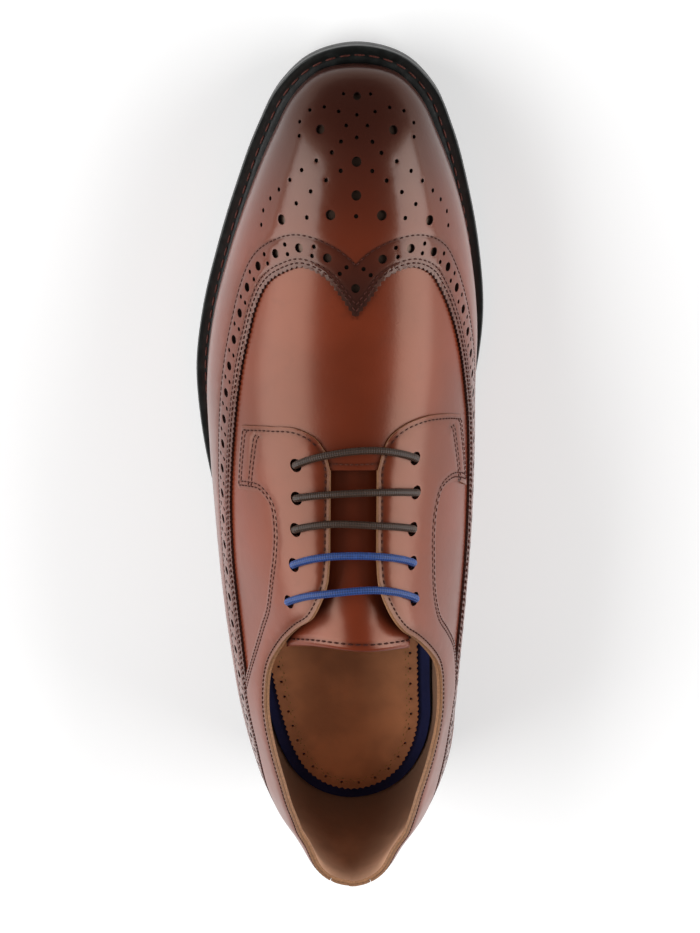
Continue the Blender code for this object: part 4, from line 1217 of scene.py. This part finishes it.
def lace_path(eyelet, side):
    """One bar: up through the eyelet on a side, across, and down through the other one."""
    radius = LACE_DIAMETER / 2
    rise = SEAT + OVERLAY_THICK + LACE_GAP * 0.3 + radius
    sink = WALL_THICK + LACE_GAP + radius
    bow = EYELETS[eyelet][4] * SHOE_LENGTH
    way = []
    for near, ahead in ((side, 1), (-side, -1)):
        across, along = eyelet_place(eyelet, near)
        steps = [  # distance from the middle, step along the shoe, height
            (across, 2.3 * radius * ahead, -sink),
            (across, radius * ahead, radius / 4 - sink),
            (across, 0, -WALL_THICK),
            (across, 0, -WALL_THICK / 2),
            (across, 0, 0),
            (across, 0, rise - radius),
            (across - 0.45 * radius, 0, rise - 0.35 * radius),
            (across - 1.2 * radius, 0, rise),
            (across - 2.5 * radius, 0, rise),
            (across * 0.62, 0, rise),
            (FACING_EDGE[1][0] * BALL_WIDTH * 1.1, 0, rise),
        ]
        way += [(near * out, along + step + bow * (1 - (out / across)**2), height)
                for out, step, height in steps[::ahead]]
    way = np.array(way)
    place, normal = last.frames(way[:, :2])
    return place + normal * way[:, 2:]


def tube(name, path, diameter, look, sides=14):
    """A round cord along a path, with a UV map of the length along it and the turn round it."""
    ahead, arc = tangents(path), arc_of(path)
    verts, across = [], np.cross(ahead[0], UP)
    for point, direction in zip(path, ahead):
        across = across - direction * np.dot(across, direction)
        across /= np.linalg.norm(across)
        above = np.cross(across, direction)
        for turn in np.arange(sides) * 2 * math.pi / sides:
            verts.append(point + (across * math.cos(turn) + above * math.sin(turn)) * diameter / 2)
    count = len(path)
    verts += [path[0] - ahead[0] * diameter / 5, path[-1] + ahead[-1] * diameter / 5]
    faces, uvs = [], []
    for k in range(0, (count - 1) * sides, sides):
        for j in range(sides):
            following = (j + 1) % sides
            faces.append((k + j, k + following, k + sides + following, k + sides + j))
            start, end = arc[k // sides], arc[k // sides + 1]
            uvs += [(start, j / sides), (start, (j + 1) / sides), (end, (j + 1) / sides), (end, j / sides)]
    tail = (count - 1) * sides
    for j in range(sides):
        following = (j + 1) % sides
        faces += [(count * sides, following, j), (count * sides + 1, tail + j, tail + following)]
        uvs += [(0, 0)] * 6
    piece = new_object(name, verts, faces, look)
    layer = piece.data.uv_layers.new(name="along_cord")
    layer.data.foreach_set("uv", np.array(uvs, float).ravel())
    mesh = bmesh.new()
    mesh.from_mesh(piece.data)
    bmesh.ops.recalc_face_normals(mesh, faces=mesh.faces)
    mesh.to_mesh(piece.data)
    mesh.free()
    piece.data.shade_smooth()
    return piece


def stitch_form():
    """One stitch, 1 long, 1 wide and 1 high, modelled once: its points and faces."""
    bpy.ops.object.select_all(action="DESELECT")
    bpy.ops.mesh.primitive_uv_sphere_add(segments=6, ring_count=4, radius=0.5)
    stitch = bpy.context.object
    bpy.ops.transform.rotate(value=math.pi / 2, orient_axis="Y", center_override=(0, 0, 0))
    bpy.ops.object.transform_apply(rotation=True)
    verts = np.array([v.co[:] for v in stitch.data.vertices])
    faces = [tuple(face.vertices) for face in stitch.data.polygons]
    bpy.data.objects.remove(stitch)
    verts[:, 0] = np.sign(verts[:, 0]) * np.abs(2 * verts[:, 0])**0.7 / 2
    return verts, faces


def stitched(name, runs, material):
    """All the stitches of some runs as one mesh. A run is points, normals, a length and a width."""
    form_verts, form_faces = stitch_form()
    verts, faces = [], []
    for points, normals, size, width in runs:
        for point, normal, direction in zip(points, normals, tangents(points)):
            side = np.cross(normal, direction)
            side /= max(np.linalg.norm(side), 1e-9)
            axes = np.stack([direction * size, side * width, normal * width * 0.8])
            faces += [tuple(v + len(verts) for v in face) for face in form_faces]
            verts += list(point + form_verts @ axes)
    piece = new_object(name, np.array(verts), faces, [material])
    piece.data.shade_smooth()
    return piece


def seam_run(line, pitch, width, height):
    """Stitches along a pattern line, with their middles at a height above the upper."""
    place, normal = last.frames(middles(line, pitch))
    return place + normal * height, normal, pitch * 0.68, width


def level_run(spots, level, size, width):
    """Stitches at points of the plan, level on the sole."""
    return on_tread(spots, level), np.tile(UP, (len(spots), 1)), size, width


def pad_side(side, inset, front):
    """Edge of the heel pad on one side, drawn on the inner side, or a line that far inside it."""
    line = last.sides[side].edge_inside(WALL_THICK + PAD_INSET + inset) * (side, 1)
    return line[line[:, 1] < front]


# ---- operators

class SHOE_OT_sole(bpy.types.Operator):
    """Outsole, stacked heel, top lift and welt"""

    bl_idname = "shoe.sole"
    bl_label = "Sole and heel"

    def execute(self, context):
        look = context.scene.shoe_look
        black = waxed_black(look)
        front = HEEL_FRONT * SHOE_LENGTH
        block = HEEL_LIFT - TOP_LIFT_THICK - 2 * SEAT
        for name, outline, level, thickness, materials, rounding, slot, node in (
                ("sole_leather", sole_outline(OUTSOLE_INSET), 0, OUTSOLE_THICK,
                 [black, sole_leather(look), black], 0.0007, "outsole", "outsole"),
                ("heel_stack", sole_outline(HEEL_INSET, front), -block - SEAT, block,
                 [waxed_black(look, "stacked heel", 0.40, 0.0042)], 0.0004, "heel", "heel_block"),
                ("heel_lift", sole_outline(OUTSOLE_INSET, front), -HEEL_LIFT, TOP_LIFT_THICK,
                 [waxed_black(look, "lift rubber", 0.55)], 0.0006, "outsole", "top_lift")):
            finish_piece(plate(name, outline, level, thickness, materials, rounding), slot, node)
        guides = [sole_outline(WELT_SEAM + room) for room in (0, -0.0008, 0.0008)]
        flat, faces = triangulated([sole_outline(0)], [closed_resampled(inner_outline(WELT_BEARING), 0.003)],
                                   guides, 0.003)
        dip = 0.0005 * fades(nearest([closed_resampled(guides[0], 0.0005)], flat), SEAM_SHADE)
        under = on_tread(flat, WELT_LEVEL)
        welt = closed_shell("welt_strip", under + UP * (WELT_THICK - dip)[:, None], under, faces,
                            [waxed_black(look, "welt leather", 0.36)])
        rounded(welt, 0.0006)
        finish_piece(welt, "welt", "welt")
        return {"FINISHED"}


class SHOE_OT_footbed(bpy.types.Operator):
    """Insole and the pad at its heel"""

    bl_idname = "shoe.footbed"
    bl_label = "Footbed"

    def execute(self, context):
        look = context.scene.shoe_look
        outline = closed_resampled(inner_outline(WALL_THICK + INSIDE_GAP), 0.002)
        insole = plate("footbed", outline, FOOT_LEVEL, INSOLE_THICK,
                       [suede("navy footbed", look.insole_colour)])
        finish_piece(insole, "insole", "insole")
        front = PAD_FRONT * SHOE_LENGTH
        medial, lateral = (pinked(pad_side(side, 0, front), 0.0024, 0.0007) * (side, 1)
                           for side in (MEDIAL, LATERAL))
        outline = np.concatenate([medial, lateral[::-1]])[:-1]
        medial, lateral = (pad_side(side, 0.0030, front - 0.006) * (side, 1) for side in (MEDIAL, LATERAL))
        border = np.concatenate([lateral[::-1], medial[1:]])
        holes = [circle(spot, 0.0012, SMALL_SIDES) for spot in resampled(border, 0.0068)[1:-1]]
        pad = plate("heel_pad_leather", outline, PAD_LEVEL, PAD_THICK, [pad_leather(look.pad_colour)],
                    holes=holes, spacing=0.004)
        flat = np.array([v.co[:2] for v in pad.data.vertices]) - ORIGIN[:2]
        mark(pad, "edge", np.exp(-nearest([outline] + holes, flat) / 0.0009))
        finish_piece(pad, "pad", "heel_pad")
        spots = middles(border, 0.0017)
        swing = np.where(np.arange(len(spots)) % 2, 0.0017, 0.0007)
        run = level_run(beside(spots, swing[:, None]), PAD_LEVEL + PAD_THICK, 0.0011, 0.00035)
        finish_piece(stitched("heel_pad_stitches", [run], thread("pad thread", (0.42, 0.26, 0.09))), "pad")
        return {"FINISHED"}


class SHOE_OT_upper(bpy.types.Operator):
    """Hollow wall of the upper with its lining"""

    bl_idname = "shoe.upper"
    bl_label = "Upper"

    def execute(self, context):
        look = context.scene.shoe_look
        materials = [calf_leather(look), lining(look), cut_edge(look, "tan edge", look.edge_colour)]
        finish_piece(upper_piece("vamp_and_quarters", materials), "leather", "upper")
        return {"FINISHED"}


class SHOE_OT_wings(bpy.types.Operator):
    """Toe piece and wings with pinked edge, punched band and toe ornament"""

    bl_idname = "shoe.wings"
    bl_label = "Wings"

    def execute(self, context):
        sizes, look = context.scene.shoe_sizes, context.scene.shoe_look
        leather = calf_leather(look, "wing leather", 0.95, wing=True)
        materials = [leather, leather, cut_edge(look, "dark edge", shade(look.toe_colour, 1.6))]
        holes = [wing_hole(sizes.pinking), tab_outline(SEAM_GAP)]
        drilled = band_holes(sizes.large_hole, sizes.small_hole)
        drilled += ornament_holes(sizes.large_hole * 1.1, sizes.small_hole)
        outline = closed_resampled(feather_outline(-OVERLAY_LIFT), 0.0016)
        width = sizes.band_width
        piece, flat = overlay("wing_tip", [outline], holes, holes, [], band_seams(width), materials, drilled)
        point = np.array([0, WING[LATERAL][0][1] * SHOE_LENGTH + 0.004])
        in_band = 1 - smooth_step(nearest([wing_outline(0)], flat), width, width + 0.0008)
        near_point = fades(np.linalg.norm(flat - point, axis=1), 0.024)
        mark(piece, "band", in_band * (0.18 + 0.82 * near_point))
        finish_piece(piece, "leather_dark", "wing_cap")
        return {"FINISHED"}


class SHOE_OT_facings(bpy.types.Operator):
    """Facings with tabs, and the strap up the heel"""

    bl_idname = "shoe.facings"
    bl_label = "Facings"

    def execute(self, context):
        look = context.scene.shoe_look
        leather = calf_leather(look, "facing leather", edge=shade(look.edge_colour, 0.45))
        materials = [leather, leather, cut_edge(look, "tan cut", shade(look.edge_colour, 0.85))]
        opening = opening_outline(FACING_EDGE)
        holes = [opening, tab_outline(SEAM_GAP)]
        wings = wing_outline(SEAM_GAP)[::2]
        for name, side, node in (("facing_outer", LATERAL, "eyestay_lateral"),
                                 ("facing_inner", MEDIAL, "eyestay_medial")):
            line = eyestay_line(side)
            corners = (line[-1, 0], -SHOE_LENGTH), (0, -SHOE_LENGTH), (0, line[0, 1])
            outline = np.concatenate([line, corners])
            rows, collar = facing_seams(side)
            drilled = [(centre, EYELET_DIAMETER, 16) for centre in eyelet_centres(side)]
            piece = overlay(name, [outline, wings], holes, [line], [opening_side(side)], rows + [collar],
                            materials, drilled, 0.0014, 0.15)[0]
            finish_piece(piece, "leather", node)
        outline = tab_outline(0)
        piece = overlay("heel_strap", [outline, feather_outline(-OVERLAY_LIFT)], [opening], [outline],
                        [opening], tab_seams(), materials)[0]
        finish_piece(piece, "leather", "heel_tab")
        return {"FINISHED"}


class SHOE_OT_tongue(bpy.types.Operator):
    """Tongue with its rolled and stitched end"""

    bl_idname = "shoe.tongue"
    bl_label = "Tongue"

    def execute(self, context):
        look = context.scene.shoe_look
        # painted light: the tongue's leather is a paler copy of the upper's, to light it deep in the slot
        leather = calf_leather(look, "tongue leather", 1.25, toe=0.0)
        count, columns = 90, 56
        along = np.linspace(TONGUE_EDGE[0][0], TONGUE_EDGE[-1][0], count) * SHOE_LENGTH
        rows = tongue_rows(along, columns)
        normal = np.cross(np.gradient(rows, axis=1), np.gradient(rows, axis=0))
        normal /= np.linalg.norm(normal, axis=2)[:, :, None]
        from_end = (along - along[0])[:, None]
        to_side = 0.027 * (1 - np.abs(np.linspace(-1, 1, columns))[None, :])
        roll = (0.0011 * (1 - smooth_step(from_end, 0, 0.0016))
                + 0.0009 * (1 - smooth_step(to_side, 0, 0.0015)))
        from_row = from_end - TONGUE_SEAM
        top = rows - normal * (roll + GROOVE * fades(from_row, GROOVE_WIDTH))[:, :, None]
        under = rows - normal * (TONGUE_THICK - 0.4 * roll)[:, :, None]
        faces = [[start, start + 1, start + columns + 1, start + columns]
                 for r in range(count - 1) for start in range(r * columns, (r + 1) * columns - 1)]
        piece = closed_shell("tongue_leather", top.reshape(-1, 3), under.reshape(-1, 3), faces,
                             [leather, leather, cut_edge(look, "tongue edge", (0.26, 0.085, 0.035))], 60)
        mark(piece, "edge", np.exp(-np.minimum(from_end, to_side) / 0.001).ravel() * 0.4)
        mark(piece, "seam", (fades(from_row, SEAM_SHADE) + np.zeros_like(to_side)).ravel())
        finish_piece(piece, "leather", "tongue")
        step = np.interp(TONGUE_SEAM, from_end[:, 0], np.arange(count))
        low, keep = int(step), slice(2, -2)
        line = rows[low] * (1 - (step - low)) + rows[low + 1] * (step - low)
        spots, up = resampled(line[keep], 0.0026), normal[low, keep]
        ups = read_along(up, np.linspace(0, 1, len(up)), np.linspace(0, 1, len(spots)))
        runs = [(spots - ups * 0.0001, ups, 0.0019, 0.0007)]
        row = stitched("tongue_stitches", runs, thread("tongue thread", look.thread_colour))
        finish_piece(row, "leather")
        return {"FINISHED"}


class SHOE_OT_laces(bpy.types.Operator):
    """Round waxed laces: straight bars over the slot"""

    bl_idname = "shoe.laces"
    bl_label = "Laces"

    def execute(self, context):
        look = context.scene.shoe_look
        rear = range(FRONT_EYELETS, len(EYELETS))
        for name, slot, node, eyelets, colour in (
                ("front_lace", "lace_brown", "lace_front", range(FRONT_EYELETS), look.front_lace_colour),
                ("rear_lace", "lace_blue", "lace_rear", rear, look.rear_lace_colour)):
            points = np.concatenate([lace_path(eyelet, MEDIAL if turn % 2 == 0 else LATERAL)
                                     for turn, eyelet in enumerate(eyelets)])
            cord = tube(name, smooth_line(points, 0.0006, 60), LACE_DIAMETER, [waxed_cord(name, colour)])
            finish_piece(cord, slot, node)
        return {"FINISHED"}


class SHOE_OT_stitching(bpy.types.Operator):
    """Stitches of the wings, facings, heel strap, vamp and welt"""

    bl_idname = "shoe.stitching"
    bl_label = "Stitching"

    def execute(self, context):
        sizes, look = context.scene.shoe_sizes, context.scene.shoe_look
        dark = thread("upper thread", look.thread_colour)
        on_overlay = OVERLAY_TOP - GROOVE + 0.00008

        def sewn(line, height=on_overlay):
            return seam_run(line, sizes.seam_pitch, sizes.thread_width, height)

        runs = [sewn(line) for line in band_seams(sizes.band_width) + tab_seams()]
        finish_piece(stitched("wing_stitches", runs, dark), "leather_dark")
        runs = []
        for side in SIDES:
            rows, collar = facing_seams(side)
            beyond_tab = np.abs(collar[:, 0]) > TAB_HALF * BALL_WIDTH + 0.002
            collar = collar[(collar[:, 1] >= HEEL_FAN * SHOE_LENGTH) | beyond_tab]
            runs += [sewn(line) for line in rows] + [sewn(collar, on_overlay - 0.0003)]
        finish_piece(stitched("facing_stitches", runs, dark), "leather")
        runs = [seam_run(vamp_seam(0.86), 0.0018, 0.0005, -GROOVE + 0.0001)]
        finish_piece(stitched("vamp_stitches", runs, thread("vamp thread", (0.085, 0.026, 0.016))), "leather")
        line = closed_resampled(sole_outline(WELT_SEAM), 0.0005)
        spots = resampled(np.concatenate([line, line[:1]]), sizes.welt_pitch)[:-1]
        run = level_run(spots, WELT_LEVEL + WELT_THICK - 0.0003, sizes.welt_pitch * 0.76, 0.0008)
        finish_piece(stitched("welt_stitches", [run], thread("welt thread", look.welt_thread_colour)), "welt")
        return {"FINISHED"}


class SHOE_OT_stage(bpy.types.Operator):
    """Floor, lights and camera"""

    bl_idname = "shoe.stage"
    bl_label = "Stage"

    def execute(self, context):
        look = context.scene.shoe_look
        bpy.ops.object.select_all(action="DESELECT")
        bpy.ops.mesh.primitive_plane_add(size=8)
        floor = context.object
        floor.name = "floor"
        paint = Finish("floor", look.floor_colour, roughness=0.9, specular_ior_level=0.1,
                       emission_color=(1.0, 1.0, 1.0, 1.0), emission_strength=0.25)
        floor.data.materials.append(paint.material)
        for name, place, size, share in LIGHTS:
            data = bpy.data.lights.new(name, "AREA")
            data.shape = "RECTANGLE"
            data.size, data.size_y = size
            data.energy = look.light_power * share
            lamp = bpy.data.objects.new(name, data)
            lamp.location = place
            aim = Vector(LIGHT_TARGET) - lamp.location
            lamp.rotation_euler = aim.to_track_quat("-Z", "Y").to_euler()
            context.scene.collection.objects.link(lamp)
        world = bpy.data.worlds.new("studio")
        world.use_nodes = True
        world.node_tree.nodes["Background"].inputs[0].default_value = (1, 1, 1, 1)
        world.node_tree.nodes["Background"].inputs[1].default_value = WORLD_STRENGTH
        context.scene.world = world
        context.scene.view_settings.view_transform = "Standard"
        add_camera(context)
        return {"FINISHED"}


def add_camera(context):
    """Camera at the photograph's angle, from in front of the toe and above, slightly rolled."""
    tilt, roll = math.radians(CAMERA_TILT), math.radians(CAMERA_ROLL)
    back = Vector((0, math.sin(tilt), math.cos(tilt)))
    up = Vector((0, math.cos(tilt), -math.sin(tilt)))
    right = Vector((1, 0, 0))
    axes = right * math.cos(roll) - up * math.sin(roll), up * math.cos(roll) + right * math.sin(roll), back
    data = bpy.data.cameras.new("camera")
    data.sensor_fit = "VERTICAL"
    data.sensor_height, data.lens = CAMERA_SENSOR, CAMERA_LENS
    camera = bpy.data.objects.new("camera", data)
    matrix = Matrix(axes).transposed().to_4x4()
    matrix.translation = Vector(CAMERA_TARGET) + back * CAMERA_DISTANCE
    camera.matrix_world = matrix
    context.scene.collection.objects.link(camera)
    context.scene.camera = camera


class SHOE_PT_panel(bpy.types.Panel):
    """Steps that dress the shoe"""

    bl_label = "Brogue shoe"
    bl_space_type = "VIEW_3D"
    bl_region_type = "UI"
    bl_category = "Shoe"

    def draw(self, context):
        for kind in STEPS:
            self.layout.operator(kind.bl_idname)
        for group in (context.scene.shoe_sizes, context.scene.shoe_look):
            for name in group.__annotations__:
                self.layout.prop(group, name)


STEPS = (SHOE_OT_sole, SHOE_OT_footbed, SHOE_OT_upper, SHOE_OT_wings, SHOE_OT_facings, SHOE_OT_tongue,
         SHOE_OT_laces, SHOE_OT_stitching, SHOE_OT_stage)
CLASSES = (ShoeSizes, ShoeLook) + STEPS + (SHOE_PT_panel,)


def register():
    for kind in CLASSES:
        bpy.utils.register_class(kind)
    bpy.types.Scene.shoe_sizes = bpy.props.PointerProperty(type=ShoeSizes)
    bpy.types.Scene.shoe_look = bpy.props.PointerProperty(type=ShoeLook)


def unregister():
    del bpy.types.Scene.shoe_look
    del bpy.types.Scene.shoe_sizes
    for kind in reversed(CLASSES):
        bpy.utils.unregister_class(kind)


def main():
    register()
    for kind in STEPS:
        group, name = kind.bl_idname.split(".")
        if getattr(getattr(bpy.ops, group), name)() != {"FINISHED"}:
            raise RuntimeError("step not finished: " + kind.bl_label)


if __name__ == "__main__":
    main()
